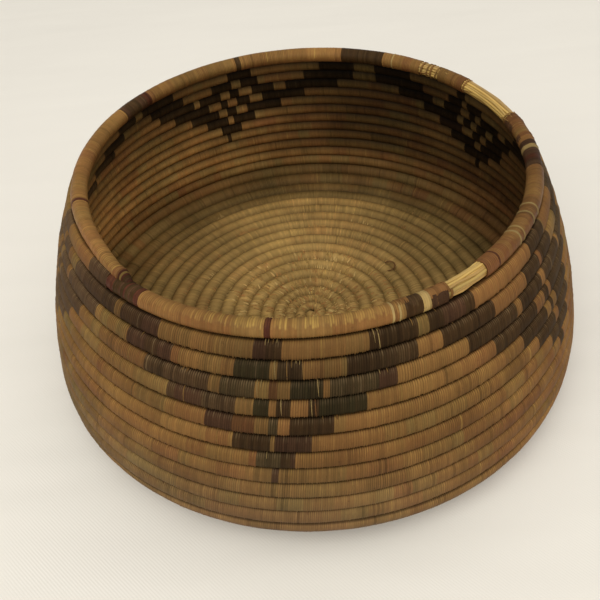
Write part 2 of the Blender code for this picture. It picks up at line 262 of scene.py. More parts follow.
# Single turns of strand left on the bare grass: degrees from the cord's end, dye and lean
LOOSE_TURNS = (
    (75.6, "warm", 0.3), (148.9, "gold", 0.5), (168.9, "bright", 0.4),
    (180.0, "gold", 0.5), (181.6, "bright", -0.4), (183.2, "gold", 0.3), (185.2, "bright", 0.4),
)

# Strands laid over the rim's wrappings: first and last degree from the cord's end, first and last
# degree round the section, and dye
RIM_STITCHES = (
    (71.2, 74.8, -20, 78, "plum"), (64.2, 66.6, -115, -42, "bright"), (137, 139, 175, 250, "plum"),
    (143, 147, 180, 240, "plum"),
)

# Frayed ends of strand at the bare grass: degrees, place round the section, rise and dye
FRAYED_ENDS = (
    (168.3, 200, 0.0010, "gold"), (185.6, 190, 0.0006, "bright"), (149.8, 215, 0.0007, "gold"),
)

# Broken strand that lies curled on the floor, and dark flecks of dye on it
CURL_POINTS = (
    (0.0420, 0.0296, 0.0064), (0.0478, 0.0330, 0.0072), (0.0492, 0.0222, 0.0072), (0.0424, 0.0232, 0.0064))
FLOOR_FLECKS = ((0.0036, 0.0679), (0.012, 0.063), (0.024, 0.045), (0.0108, 0.0496))

# Stretches of the rim whose grass is bare, in degrees round from the cord's end, and how its end
# is rounded off: steps on past it and shares of its thickness; and how far its stems run on
# under the strands, and the places along one stem
BARE_STRETCHES = ((75, 85.5), (148, 169.5), (179, 186))
STEM_OVERLAP_DEGREES = 5
STEM_STEPS = 60
DOME = ((0.0013, 0.1), (0.0012, 0.45), (0.0009, 0.75), (0.0005, 0.92))

# The camera's place and lens
CAMERA_ELEVATION = math.radians(45.063)
CAMERA_DISTANCE = 0.342885
CAMERA_ROLL = math.radians(-5.243)
CAMERA_TARGET = Vector((-0.006293, 0, 0.013284))
CAMERA_LENS = 40.31
CAMERA_SENSOR = 36.0

# Soft lamps: name, place, size and share of the power
LAMPS = (
    ("front_lamp", (-0.30, -0.74, 0.98), 1.5, 0.71),
    ("back_lamp", (0.42, 0.28, 1.20), 1.6, 0.29),
)
LAMP_TARGET = Vector((0, 0, 0.03))

# The cloth: half its width, points along each side and how far it darkens; and what is seen
# past it
CLOTH_REACH = 3.0
CLOTH_STEPS = 120
CLOTH_SHADE = 0.97
BACKDROP = (0.85, 0.80, 0.70)

# Dust that lies low outside and thinly inside, and names of the shared groups' colour sockets
DUST = (0.265, 0.185, 0.105)
COLOUR_SOCKETS = ("Colour", "Cool", "Warm", "Worn")


def length(name, description, default):
    """A length to set in the panel."""
    return FloatProperty(name=name, description=description, default=default, unit="LENGTH")


def colour(name, description, *default):
    """A colour to set in the panel."""
    return FloatVectorProperty(name=name, description=description, default=default, subtype="COLOR")


class BasketSizes(bpy.types.PropertyGroup):
    """Sizes of the basket and its cord."""

    rim_radius: length("Rim radius", "From the axis to the middle of the rim's cord", 0.0918)
    wall_height: length("Wall height", "From the floor's cord up to the rim's cord", 0.0986)
    rim_lean: FloatProperty(
        name="Rim lean", description="How far the wall leans in at the rim",
        default=math.radians(31), subtype="ANGLE")
    belly_radius: length("Belly radius", "From the axis to the middle of the cord at the belly", 0.1216)
    belly_height: length("Belly height", "Height of the widest round over the floor's cord", 0.0130)
    heel_width: length("Heel width", "From the belly in to the flat floor", 0.0176)
    pitch: length("Round to round", "Distance between the middles of two rounds", 0.0072)
    gap: length("Solid gap", "Gap that the solids leave between rounds", 0.0006)
    start_radius: length("Start radius", "From the axis to the cord's first full round", 0.0075)
    tail_length: length("Tail length", "Length of the cord that thins towards its end", 0.044)
    strand_width: length("Strand width", "Width of one turn of split strand", 0.0008)
    strand_thickness: length("Strand thickness", "Thickness of the split strand", 0.0005)
    crown_groove: length("Crown groove", "Depth between two strands on the cord's crown", 0.000045)
    seam_groove: length("Seam groove", "Depth between two strands where they enter the seam", 0.00032)
    strand_slant: length("Strand slant", "How far a strand runs on from one seam to the other", 0.0003)
    stem_radius: length("Stem radius", "Radius of one grass stem where the rim is bare", 0.0006)
    stem_count: IntProperty(name="Stems", description="Grass stems round the bare rim", default=13)


class BasketColours(bpy.types.PropertyGroup):
    """Colours of the strands, the grass and the stage."""

    tan: colour("Tan", "Undyed strand", 0.270, 0.130, 0.037)
    olive: colour("Olive", "Undyed strand that weathered cool", 0.250, 0.153, 0.046)
    rust: colour("Rust", "Undyed strand that aged warm", 0.232, 0.092, 0.030)
    worn: colour("Worn", "Strand whose skin is rubbed off", 0.480, 0.290, 0.070)
    dark: colour("Dark", "Strand dyed dark", 0.058, 0.029, 0.010)
    green_black: colour("Green black", "Dark dye that faded cool", 0.041, 0.031, 0.011)
    plum: colour("Plum", "Dark dye that faded warm", 0.068, 0.029, 0.014)
    faded: colour("Faded", "Dark dye that is rubbed thin", 0.185, 0.120, 0.055)
    red: colour("Red brown", "Strand dyed red brown", 0.078, 0.023, 0.011)
    pale: colour("Pale", "Fresh strand of a mend", 0.480, 0.320, 0.115)
    straw: colour("Straw", "Bare grass stems", 0.470, 0.305, 0.072)
    cloth: colour("Cloth", "Cloth that the basket stands on", 0.850, 0.800, 0.700)
    sky: FloatProperty(name="Sky light", description="Strength of the light from all round", default=0.61)
    lamp: FloatProperty(
        name="Lamp", description="Power of the soft lamps overhead", default=12.9, unit="POWER")


def settings():
    """Sizes and colours of the scene's basket."""
    scene = bpy.context.scene
    return scene.basket_sizes, scene.basket_colours


def running_sum(steps):
    """Sums of the steps so far, from 0 on."""
    return np.concatenate(((0,), np.cumsum(steps)))


def lengths(steps):
    """Length of each vector."""
    return np.linalg.norm(steps, axis=-1)


def bezier(points, shares):
    """Points of a cubic curve at shares of its parameter."""
    rest = 1 - shares
    first, first_handle, last_handle, last = (np.array(point) for point in points)
    return (np.outer(rest**3, first) + np.outer(3 * rest**2 * shares, first_handle)
            + np.outer(3 * rest * shares**2, last_handle) + np.outer(shares**3, last))


def drift(turns, seed, cells, size):
    """Slow random drift along the cord, the same for every piece."""
    table = np.random.default_rng(seed).normal(0, size, DRIFT_TURNS * cells)
    return np.interp(np.asarray(turns) * cells, np.arange(len(table)), table)


class Cord:
    """The basket's one cord, followed in turns counted back from its end at the rim."""

    def __init__(self, sizes):
        self.sizes = sizes
        rim = np.array((sizes.rim_radius, sizes.wall_height))
        belly = np.array((sizes.belly_radius, sizes.belly_height))
        base = np.array((sizes.belly_radius - sizes.heel_width, 0))
        lean = np.array((math.sin(sizes.rim_lean), -math.cos(sizes.rim_lean)))
        rise = sizes.wall_height - sizes.belly_height
        rim_handle = rim + lean * np.linalg.norm(rim - belly) * RIM_HANDLE_SHARE
        upper = (rim, rim_handle, belly + (0, rise * BELLY_UP_HANDLE_SHARE), belly)
        belly_handle = belly - (0, sizes.belly_height * BELLY_DOWN_HANDLE_SHARE)
        lower = (belly, belly_handle, base + (sizes.heel_width * BASE_HANDLE_SHARE, 0), base)
        shares = np.linspace(0, 1, PROFILE_STEPS + 1)
        floor = np.linspace(base, (-sizes.start_radius, 0), PROFILE_STEPS)
        self.profile = np.concatenate((bezier(upper, shares), bezier(lower, shares)[1:], floor[1:]))
        self.runs = running_sum(lengths(np.diff(self.profile, axis=0)))
        ways = np.gradient(self.profile, self.runs, axis=0)
        self.ways = ways / lengths(ways)[:, None]
        self.length = self.runs[-1] - sizes.start_radius
        loss = TURNS_TO_FULL_THICKNESS * (1 - START_PITCH_SHARE) / 2
        self.turns = (self.length - sizes.start_radius) / sizes.pitch + loss
        self.tail_turns = sizes.tail_length / (2 * math.pi * sizes.rim_radius)

    def local_pitch(self, turns):
        """Distance between rounds, which shrinks towards the cord's start."""
        grown = np.clip((self.turns - turns) / TURNS_TO_FULL_THICKNESS, 0, 1)
        return self.sizes.pitch * (START_PITCH_SHARE + (1 - START_PITCH_SHARE) * grown)

    def body_radius(self, turns):
        """Radius of the cord before its tail thins."""
        return (self.local_pitch(turns) - self.sizes.gap) / 2

    def radius(self, turns):
        """Radius of the cord, thinned along its tail."""
        along = np.clip(turns / self.tail_turns, 0, 1)
        return self.body_radius(turns) * (TAIL_TIP_SHARE + (1 - TAIL_TIP_SHARE) * along)

    def distance(self, turns):
        """Distance of the cord's middle along the profile."""
        left = self.turns - turns
        rounds = START_PITCH_SHARE * left
        rounds = rounds + (1 - START_PITCH_SHARE) * left * np.abs(left) / (2 * TURNS_TO_FULL_THICKNESS)
        near = self.length - self.sizes.start_radius - self.sizes.pitch * rounds
        sag = TAIL_SAG * (1 - np.clip(turns / self.tail_turns * 1.6, 0, 1)) ** 2
        far = self.sizes.pitch * turns + self.body_radius(turns) - self.radius(turns) + sag
        return np.where(left < TURNS_TO_FULL_THICKNESS, near, far)

    def frame(self, turns):
        """Middle of the cord with its outward and downward directions, at each of many places."""
        distance = self.distance(turns)
        radius, height, way_r, way_z = (
            np.interp(distance, self.runs, column) for column in (*self.profile.T, *self.ways.T))
        angle = math.radians(CORD_END_DEGREES) - 2 * math.pi * turns
        x, y = np.cos(angle), np.sin(angle)
        height = height + self.body_radius(turns) * SEAT_SHARE
        middle = np.stack((radius * x, radius * y, height), axis=-1)
        out = np.stack((-way_z * x, -way_z * y, way_r), axis=-1)
        across = np.stack((way_r * x, way_r * y, way_z), axis=-1)
        return middle, out, across

    def ring_length(self, turns):
        """Length of one whole turn of the cord at a place."""
        return 2 * math.pi * lengths(self.frame(np.asarray(turns, float))[0][..., :2])

    def section(self, turns, angles, rim):
        """Shares of the way out and across at angles round the section, and its reach across."""
        cosine, sine = np.cos(angles), np.sin(angles)
        fullness = np.where(rim, RIM_FULLNESS, np.where(cosine > 0, CROWN_FULLNESS, INNER_FULLNESS))
        out_share, across_share = (
            np.sign(wave) * np.abs(wave) ** (2 / fullness) for wave in (cosine, sine))
        inner = np.where(turns > LAST_WALL_ROUND - 1, FLOOR_REACH, INNER_WALL_REACH)
        reach = self.local_pitch(turns) * np.where(out_share < 0, inner, SEAM_REACH)
        return out_share, across_share, reach


def towards(out, across, angles):
    """Directions at angles round the cord's section."""
    return out * np.cos(angles)[..., None] + across * np.sin(angles)[..., None]


def strand_edges(cord, start, end, rng):
    """Turns at the edges of the strands between two places."""
    run = abs(end - start) * cord.ring_length((start + end) / 2)
    count = max(2, round(run / cord.sizes.strand_width))
    edges = running_sum(np.clip(1 + rng.normal(0, WIDTH_SPREAD, count), *WIDTH_LIMITS))
    return start + (end - start) * edges / edges[-1]


def strand_rings(edges, lifts, teeth):
    """Turns, standing, lift and bite of the rings of all strands between their edges."""
    shares, crests = (np.array(column)[None, :] for column in zip(*STRAND_STEPS))
    turns = edges[:-1, None] * (1 - shares) + edges[1:, None] * shares
    rows = (crests + 0 * turns, lifts[:, None] * crests, teeth[:, None] * crests)
    return np.append(turns, edges[-1]), *(np.append(row, 0) for row in rows)


def section_points(cord, turns, crests, raised, bites, is_rim=False):
    """Points round the cord's section at each ring, with how they lie: out, across and crest."""
    sizes = cord.sizes
    turns, crests, raised, bites = (values[:, None] for values in (turns, crests, raised, bites))
    out_share, across_share, reach = cord.section(turns, np.radians(SECTION_DEGREES)[None, :], is_rim)
    slant = sizes.strand_slant * across_share / cord.ring_length(turns)
    middle, out, across = cord.frame(turns + slant * (0.5 if is_rim else 1))
    swollen = cord.radius(turns) + drift(turns, *SWELL)
    sway = drift(turns, *SWAY) * (not is_rim)
    groove = sizes.crown_groove + (sizes.seam_groove - sizes.crown_groove) * np.abs(across_share) ** 4
    sunk = groove * (1 - crests) - raised * np.abs(out_share) ** 0.5
    tall = swollen - sunk
    if is_rim:
        seated = cord.radius(turns) + reach - cord.body_radius(turns)
        wide = np.where(across_share > 0, seated, swollen) - sunk
    else:
        bite = (bites - BITE_BACK) * across_share**2
        wide = reach - sunk * 0.8 + np.where(across_share > 0, bite, 0)
    points = middle + out * (out_share * tall + sway)[..., None] + across * (across_share * wide)[..., None]
    points[..., 2] = np.maximum(points[..., 2], 0)
    return points, np.stack(np.broadcast_arrays(out_share, across_share, crests), axis=-1)


def cord_surface(cord, turns, angles, lift):
    """Points on the surface of sewn rounds, with the direction that points out of them."""
    turns, angles = np.broadcast_arrays(turns, angles)
    rim = turns < 1
    out_share, across_share, reach = cord.section(turns, angles, rim)
    middle, out, across = cord.frame(turns)
    tall = cord.radius(turns) + drift(turns, *SWELL) + lift
    wide = reach + lift
    seated = wide + cord.radius(turns) - cord.body_radius(turns)
    wide = np.where(rim, np.where(across_share < 0, tall, seated), wide)
    sway = drift(turns, *SWAY) * (1 - rim)
    points = middle + out * (out_share * tall + sway)[:, None] + across * (across_share * wide)[:, None]
    return points, towards(out, across, angles)


def grid_faces(rings, sides, offset=0, flip=False):
    """Quads between rings of points, closed round the section."""
    first = np.arange(rings - 1)[:, None] * sides
    near = first + np.arange(sides)
    after = first + (np.arange(sides) + 1) % sides
    order = (near, near + sides, after + sides, after)
    return np.stack(order[::-1] if flip else order, axis=-1).reshape(-1, 4) + offset


def closed_faces(rings, sides, flip=False):
    """Quads between rings of points, and the two ends."""
    step = -1 if flip else 1
    side = np.arange(sides)[None, :]
    return [grid_faces(rings, sides, flip=flip), side[:, ::step], (rings - 1) * sides + side[:, ::-step]]


def make_mesh(name, points, faces, materials, face_materials=None, smooth=None):
    """A mesh object from an array of points and a list of arrays of faces."""
    mesh = bpy.data.meshes.new(name)
    points = np.asarray(points, np.float32).reshape(-1, 3)
    counts = np.concatenate([np.full(len(block), block.shape[1]) for block in faces])
    corners = np.concatenate([block.ravel() for block in faces]).astype(np.int32)
    mesh.vertices.add(len(points))
    mesh.vertices.foreach_set("co", points.ravel())
    mesh.loops.add(len(corners))
    mesh.loops.foreach_set("vertex_index", corners)
    mesh.polygons.add(len(counts))
    mesh.polygons.foreach_set("loop_start", running_sum(counts)[:-1].astype(np.int32))
    mesh.update(calc_edges=True)
    mesh.polygons.foreach_set("use_smooth", np.ones(len(counts), bool) if smooth is None else smooth)
    for material in materials:
        mesh.materials.append(material)
    if face_materials is not None:
        mesh.polygons.foreach_set("material_index", face_materials.astype(np.int32))
    mesh.validate()
    made = bpy.data.objects.new(name, mesh)
    bpy.context.collection.objects.link(made)
    return made


def add_marks(piece, strand, lay):
    """Store what the materials read: a colour for each face and the lay of each point."""
    mesh = piece.data
    marks = mesh.attributes.new("strand", "FLOAT_COLOR", "FACE")
    marks.data.foreach_set("color", np.asarray(strand, np.float32).ravel())
    ways = mesh.attributes.new("lay", "FLOAT_VECTOR", "POINT")
    ways.data.foreach_set("vector", np.asarray(lay, np.float32).ravel())


def strip_maps(points, low, high, flip=False):
    """Layout of a sewn surface as rows of strip, and its places in millimetres for the grain."""
    sides = points.shape[1]
    along = running_sum(lengths(np.diff(points.mean(axis=1), axis=0)))
    ring = points[len(points) // 2]
    way = running_sum(lengths(np.roll(ring, -1, axis=0) - ring))
    rows = max(1, round(math.sqrt(along[-1] / way[-1])))
    index = np.arange(len(points) - 1)
    row = np.minimum(index * rows // len(index), rows - 1)
    starts = along[np.searchsorted(row, np.arange(rows + 1))]
    longest = np.diff(starts).max()
    corners = ((0, 0), (1, 0), (1, 1), (0, 1))
    strip, grain = [], []
    for ring_step, side_step in corners[::-1] if flip else corners:
        run, side = np.broadcast_arrays(along[index + ring_step][:, None], way[side_step:side_step + sides])
        share = (run - starts[row][:, None]) / longest
        rung = (row[:, None] + 0.04 + 0.92 * side / way[-1]) / rows
        strip.append(np.stack((0.005 + 0.99 * share, low + (high - low) * rung), axis=-1))
        grain.append(np.stack((side * 1000, run * 1000), axis=-1))
    return [np.stack(part, axis=2).reshape(-1, 2) for part in (strip, grain)]


def add_maps(piece, *maps):
    """Store the layouts of a piece's surfaces; its end faces share a small corner."""
    rest = np.arange(len(piece.data.loops) - sum(len(strip) for strip, _ in maps))
    corner = np.stack((0.5 + 0.3 * np.cos(rest), 0.985 + 0.01 * np.sin(rest)), axis=1)
    for number, (name, filler) in enumerate((("OFBake", corner), ("Strands", corner * 0))):
        layer = piece.data.uv_layers.new(name=name)
        values = [pair[number] for pair in maps] + [filler]
        layer.data.foreach_set("uv", np.concatenate(values).astype(np.float32).ravel())


def place(piece, slot, *nodes):
    """Hide the solids that a piece stands for, and let it ride on the basket. Its slot is not used."""
    if nodes:
        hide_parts(*nodes)
    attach(piece, "root")


def runs_of(row):
    """Runs of strand in a row of degrees and dyes: first degree, last degree and dye."""
    words = row.split()
    runs = zip(words[::2], words[2::2], words[1::2])
    return [(float(first), float(last), dye) for first, last, dye in runs if dye != "."]


def dye_names(turns):
    """Dye of each strand, read from the chart."""
    names = np.full(len(turns), "tan", dtype=object)
    azimuth = CORD_END_DEGREES - 360 * turns
    rounds = np.floor(turns).astype(int) + 1
    for number in np.unique(rounds):
        for start, end, dye in runs_of(CHART.get(int(number), "")):
            names[(rounds == number) & (np.mod(azimuth - start, 360) < end - start)] = dye
    return names


def near_azimuth(azimuth, centre, width):
    """1 near a direction round the basket, falling off to 0."""
    near = np.clip(1 - np.abs(np.mod(azimuth - centre + 180, 360) - 180) / width, 0, 1)
    return near ** 2 * (3 - 2 * near)


def strand_marks(turns, names, rng, rim=False):
    """Material name and tone, hue, wear and polish of each strand."""
    count = len(turns)
    tone, hue, wear, loose = np.array([DYES[name][1:] for name in names]).T
    undyed = np.isin(names, ("tan", "gold", "rust", "olive"))
    dyed = np.isin(names, ("dark", "plum", "green"))
    floor = np.clip((turns - LAST_WALL_ROUND + 1) / 2, 0, 1)
    low = np.clip((turns - 5) / 5, 0, 1) * (1 - floor)
    high = 1 - np.clip((turns - 1) / 6, 0, 1)
    upper = turns < 8

    def near(centre, width):
        return near_azimuth(CORD_END_DEGREES - 360 * turns, centre, width)

    # Masks, with how far each shifts tone, hue and wear
    patches = [
        (undyed, 0, -0.06, 0),
        (undyed * high, 0.06, 0.06, 0),
        (undyed * floor, 0.16, -0.36, 0),
        (undyed * np.clip(1 - np.abs(turns - 7) / 5, 0, 1), 0, 0.12, 0),
        (undyed * np.clip(1 - np.abs(turns - 2.5) / 2, 0, 1), -0.10, 0, 0),
        (undyed * low * near(-25, 75), 0, 0.30, 0),
        (undyed * low * near(-165, 60), 0, -0.10, 0),
        (undyed * low * near(14, 36), -0.12, 0.30, 0),
    ]
    if not rim:
        patches += [
            (dyed * near(-160, 60), 0.16, 0.35, 0),
            (dyed * near(-168, 46), 0.48, 0, 0.40),
            (dyed * near(-10, 34), 0, 0, 0.25),
            (upper * near(-28, 40) * np.isin(names, ("gold", "worn")), -0.24, 0.35, 0),
            (undyed * high * near(-48, 36), -0.06, 0.32, 0),
            (upper * (near(28, 26) + near(107, 20)) * (1 - dyed), 0.34, -0.18, 0),
        ]
    for mask, lighter, warmer, rubbed in patches:
        tone, hue, wear = tone + lighter * mask, hue + warmer * mask, wear + rubbed * mask
    hue = hue + undyed * drift(turns, *HUE_DRIFT)
    tone = tone + drift(turns, *TONE_DRIFT) * np.where(undyed, 1, 0.7)

    runs = np.repeat(rng.normal(0, 1, count), rng.integers(5, 22, count))[:count]
    fed_in = np.repeat(rng.normal(0, 1, count), rng.integers(6, 18, count))[:count]
    tone = tone + runs * (0.07 - 0.05 * floor) + rng.normal(0, 1, count) * loose * 0.8
    hue = hue + rng.normal(0, 0.05, count) + undyed * fed_in * (0.17 - 0.15 * floor)
    tone = tone + rng.normal(0, 0.07, count) * floor + rng.choice((0, 0.25), count, p=(0.93, 0.07)) * floor
    streak = rng.random(count)
    wear = wear + (streak > 0.985) * rng.random(count) * 0.5 + np.clip(drift(turns, *WEAR_DRIFT), 0, 1)
    tone = tone - (streak < 0.03) * 0.25
    if rim:
        rubbed = 0.06 + rng.random(count)**1.6 * (0.16 + 0.86 * near(-98, 27))
        wear = wear + np.where(names == "tan", 1, 0.3) * rubbed
        # Rim a little lighter overall, with painted shade at the back left
        tone = tone + 0.06 - 0.30 * near(125, 36)
        hue = hue + (names == "tan") * (0.10 + 0.22 * near(0, 110) + 0.20 * near(-48, 9))
    kinds = [DYES[name][0] for name in names]
    return kinds, np.clip(np.stack((tone, hue, wear, np.full(count, float(rim))), axis=1), 0, 1)


def strand_materials(kinds):
    """Materials that a piece needs, and the number of each strand's own."""
    used = [kind for kind in STRAND_KINDS if kind in set(kinds)]
    return [strand_material(kind) for kind in used], np.array([used.index(kind) for kind in kinds])


def seed_of(name):
    """A number of its own for each piece."""
    return sum(ord(letter) * (spot + 3) for spot, letter in enumerate(name))


def sewn_piece(name, points, faces, strands, lay, layers, ends):
    """A piece of sewn cord, from its faces: layers of strands, and then some faces at each end."""
    kinds, marks = strands
    materials, numbers = strand_materials(kinds)
    strand = np.repeat(np.arange(len(numbers)), len(STRAND_STEPS) * len(SECTION_DEGREES))
    order = np.concatenate((*[strand] * layers, np.repeat((0, len(numbers) - 1), ends)))
    smooth = np.arange(len(order)) < len(order) - 2 * ends
    piece = make_mesh(name, points, faces, materials, numbers[order], smooth)
    add_marks(piece, marks[order], lay)
    return piece


def sewn_round(name, cord, start, end):
    """One round of sewn cord between two places, closed at both ends."""
    rng = np.random.default_rng(seed_of(name))
    edges = strand_edges(cord, start, end, rng)
    middles = (edges[:-1] + edges[1:]) / 2
    rough = WALL_ROUGHNESS if end < LAST_WALL_ROUND else FLOOR_ROUGHNESS
    lifts = rng.normal(0, rough, len(middles))
    lifts = lifts + (rng.random(len(middles)) > LEVEL_SHARE) * STANDOUT_LIFT
    teeth = np.clip(rng.normal(BITE, BITE, len(middles)), *BITE_LIMITS)
    points, lay = section_points(cord, *strand_rings(edges, lifts, teeth))
    strands = strand_marks(middles, dye_names(middles), rng)
    piece = sewn_piece(name, points, closed_faces(*points.shape[:2]), strands, lay, 1, 1)
    add_maps(piece, strip_maps(points, 0, 0.97))
    return piece


def rim_strand(name, cord, dye, start_degrees, end_degrees):
    """A length of strand wound round the rim's grass: a sleeve, open at both ends."""
    rng = np.random.default_rng(seed_of(name))
    start, end = 1 - end_degrees / 360, 1 - start_degrees / 360
    if end_degrees == 360:
        start = -TAIL_OVERHANG_DEGREES / 360
    edges = strand_edges(cord, start, end, rng)
    middles = (edges[:-1] + edges[1:]) / 2
    azimuth = CORD_END_DEGREES - 360 * middles
    overcast = np.zeros(len(middles), bool)
    for direction in OVERCAST_DEGREES:
        overcast |= np.abs(np.mod(azimuth - direction + 180, 360) - 180) < OVERCAST_HALF_WIDTH
    loose = sum(near_azimuth(azimuth, *spot) for spot in LOOSE_PLACES)
    lifts = rng.normal(0, 1, len(middles)) * (RIM_ROUGHNESS + LOOSE_ROUGHNESS * loose)
    lifts = lifts + overcast * OVERCAST_LIFT
    names = np.full(len(middles), dye, dtype=object)
    degrees = (1 - middles) * 360
    for first, last, single in runs_of(RIM_DYES):
        names[(degrees >= first) & (degrees < last)] = single
    names[overcast] = "pale"
    if start < 0:
        names[middles < start + RUST_TAIL_TURNS] = "rust"
    rings_of = strand_rings(edges, lifts, lifts * 0)
    points, lay = section_points(cord, *rings_of, is_rim=True)
    middle = cord.frame(rings_of[0])[0][:, None]
    away = points - middle
    inner = middle + away * (1 - cord.sizes.strand_thickness / lengths(away)[..., None])
    rings, sides = points.shape[:2]
    side = np.arange(sides)
    after = (side + 1) % sides
    shift = rings * sides
    near_end = np.stack((side, after, after + shift, side + shift), axis=1)
    far_end = np.stack((after, side, side + shift, after + shift), axis=1) + shift - sides
    faces = [grid_faces(rings, sides), grid_faces(rings, sides, shift, flip=True), near_end, far_end]
    strands = strand_marks(middles, names, rng, rim=True)
    both = np.concatenate((points, inner))
    piece = sewn_piece(name, both, faces, strands, np.concatenate((lay, lay)), 2, sides)
    add_maps(piece, strip_maps(points, 0.01, 0.78), strip_maps(points, 0.80, 0.95, flip=True))
    return piece


def ribbon(path, normals, half_widths, half_thickness):
    """Rings of a thin flat strand that lies along a path, and its closed faces."""
    ways = np.gradient(path, axis=0)
    side = np.cross(ways, normals)
    side /= lengths(side)[:, None]
    lift = np.cross(side, ways)
    lift /= lengths(lift)[:, None]
    across, up = np.array(RIBBON_SECTION).T
    points = path[:, None] + side[:, None] * (across[None, :] * half_widths[:, None])[..., None]
    points = points + lift[:, None] * (up * half_thickness)[None, :, None]
    return points, closed_faces(len(path), len(RIBBON_SECTION))


def tube(path, radii, sides):
    """Rings of points round a path, and its closed faces."""
    ways = np.gradient(path, axis=0)
    ways /= lengths(ways)[:, None]
    side = np.cross(ways, (0, 0, 1.0))
    side /= np.maximum(lengths(side), 1e-9)[:, None]
    rise = np.cross(side, ways)
    ring = towards(side[:, None], rise[:, None], 2 * np.pi * np.arange(sides)[None, :] / sides)
    return path[:, None] + radii[:, None, None] * ring, closed_faces(len(path), sides, flip=True)


class Gathering:
    """Collects closed parts, each with its dye or its marks, into one object."""

    def __init__(self):
        self.points, self.squares, self.ends = [], [], []
        self.count = 0

    def add(self, points, faces, mark):
        for part in faces:
            kept = self.squares if part.shape[1] == 4 else self.ends
            kept.append((part + self.count, [mark] * len(part)))
        self.points.append(points.reshape(-1, 3))
        self.count += len(self.points[-1])

    def marks(self):
        """The dye or marks of each face."""
        return [mark for _, marks in self.squares + self.ends for mark in marks]

    def finish(self, name, materials, numbers, marks, lay):
        """The object, with materials and marks for its faces."""
        faces = [part for part, _ in self.squares + self.ends]
        piece = make_mesh(name, np.concatenate(self.points), faces, materials, numbers)
        add_marks(piece, marks, np.tile(lay, (self.count, 1)))
        piece.data.uv_layers.new(name="Strands")
        return piece

    def make(self, name, lay=(1.0, 0.0, 1.0)):
        """The object in dyed strand, slightly uneven in tone."""
        rng = np.random.default_rng(seed_of(name))
        dyes = self.marks()
        marks = np.array([(*DYES[dye][1:4], 0) for dye in dyes])
        marks[:, 0] += np.repeat(rng.normal(0, 0.1, len(dyes) // 20 + 1), 20)[:len(dyes)]
        materials, numbers = strand_materials([DYES[dye][0] for dye in dyes])
        return self.finish(name, materials, numbers, np.clip(marks, 0, 1), lay)


def round_turns(number, degrees):
    """Place on the cord of a round, counted from the rim, in a direction round the basket."""
    return number - 1 + math.fmod(CORD_END_DEGREES - degrees + 720, 360) / 360


class Value:
    """An output of a node, to be written in formulas."""

    def __init__(self, tree, socket):
        self.tree, self.socket = tree, socket

    def __add__(self, other):
        return self.tree.math("ADD", self, other)

    def __sub__(self, other):
        return self.tree.math("SUBTRACT", self, other)

    def __rsub__(self, other):
        return self.tree.math("SUBTRACT", other, self)

    def __mul__(self, other):
        return self.tree.math("MULTIPLY", self, other)

    def __abs__(self):
        return self.tree.math("ABSOLUTE", self)

    def ramp(self, low, high, to_low=0.0, to_high=1.0, smooth=True):
        """The value taken from one range to another."""
        return self.tree.value("ShaderNodeMapRange", 0, {
            "Value": self, "From Min": low, "From Max": high, "To Min": to_low, "To Max": to_high},
            interpolation_type="SMOOTHSTEP" if smooth else "LINEAR")

    def fade(self, end):
        """1 where the value is 0, and the end's value where it is 1."""
        return self.ramp(0.0, 1.0, 1.0, end)


class Tree:
    """Adds nodes to one tree and joins them."""

    def __init__(self, tree):
        self.tree = tree

    def node(self, kind, inputs=None, **values):
        made = self.tree.nodes.new(kind)
        for name, value in values.items():
            setattr(made, name, value)
        for name, value in (inputs or {}).items():
            self.feed(made.inputs[name], value)
        return made

    def value(self, kind, output, inputs=None, **values):
        return Value(self, self.node(kind, inputs, **values).outputs[output])

    def split(self, kind, value):
        return [Value(self, socket) for socket in self.node(kind, {0: value}).outputs]

    def feed(self, socket, value):
        value = value.socket if isinstance(value, Value) else value
        if isinstance(value, bpy.types.NodeSocket):
            self.tree.links.new(value, socket)
        elif socket.type == "RGBA":
            socket.default_value = (*value[:3], 1)
        else:
            socket.default_value = value

    def math(self, operation, first, second=0.5, clamp=False):
        return self.value("ShaderNodeMath", 0, {0: first, 1: second}, operation=operation, use_clamp=clamp)

    def blend(self, share, first, second):
        return self.value("ShaderNodeMix", 0, {0: share, 2: first, 3: second})

    def mix(self, share, first, second, blend="MIX"):
        inputs = {0: share, 6: first, 7: second}
        return self.value("ShaderNodeMix", 2, inputs, data_type="RGBA", blend_type=blend)

    def shade(self, colour, bright):
        dim = self.value("ShaderNodeCombineXYZ", 0, {0: bright, 1: bright, 2: bright})
        return self.mix(1.0, colour, dim, "MULTIPLY")

    def noise(self, vector, scale, detail=2.0, roughness=0.5):
        return self.value("ShaderNodeTexNoise", "Fac", {
            "Vector": vector, "Scale": scale, "Detail": detail, "Roughness": roughness})

    def group(self, name, fill, **inputs):
        """Outputs of a shared group by name; the first time, fill makes its nodes."""
        made = self.node("ShaderNodeGroup", inputs, node_tree=shared_group(name, fill, inputs))
        return {socket.name: Value(self, socket) for socket in made.outputs}


def shared_group(name, fill, inputs):
    """The shader group of a name, with an input for each of the inputs, made once."""
    if name in bpy.data.node_groups:
        return bpy.data.node_groups[name]
    group = bpy.data.node_groups.new(name, "ShaderNodeTree")

    def socket(label, way):
        kind = "Color" if label in COLOUR_SOCKETS else "Float"
        return group.interface.new_socket(label, in_out=way, socket_type="NodeSocket" + kind)

    for label in inputs:
        socket(label, "INPUT")
    tree = Tree(group)
    entry = {made.name: Value(tree, made) for made in group.nodes.new("NodeGroupInput").outputs}
    outputs = fill(tree, entry)
    for label in outputs:
        socket(label, "OUTPUT")
    leave = group.nodes.new("NodeGroupOutput").inputs
    for label, value in outputs.items():
        tree.feed(leave[label], value)
    return group


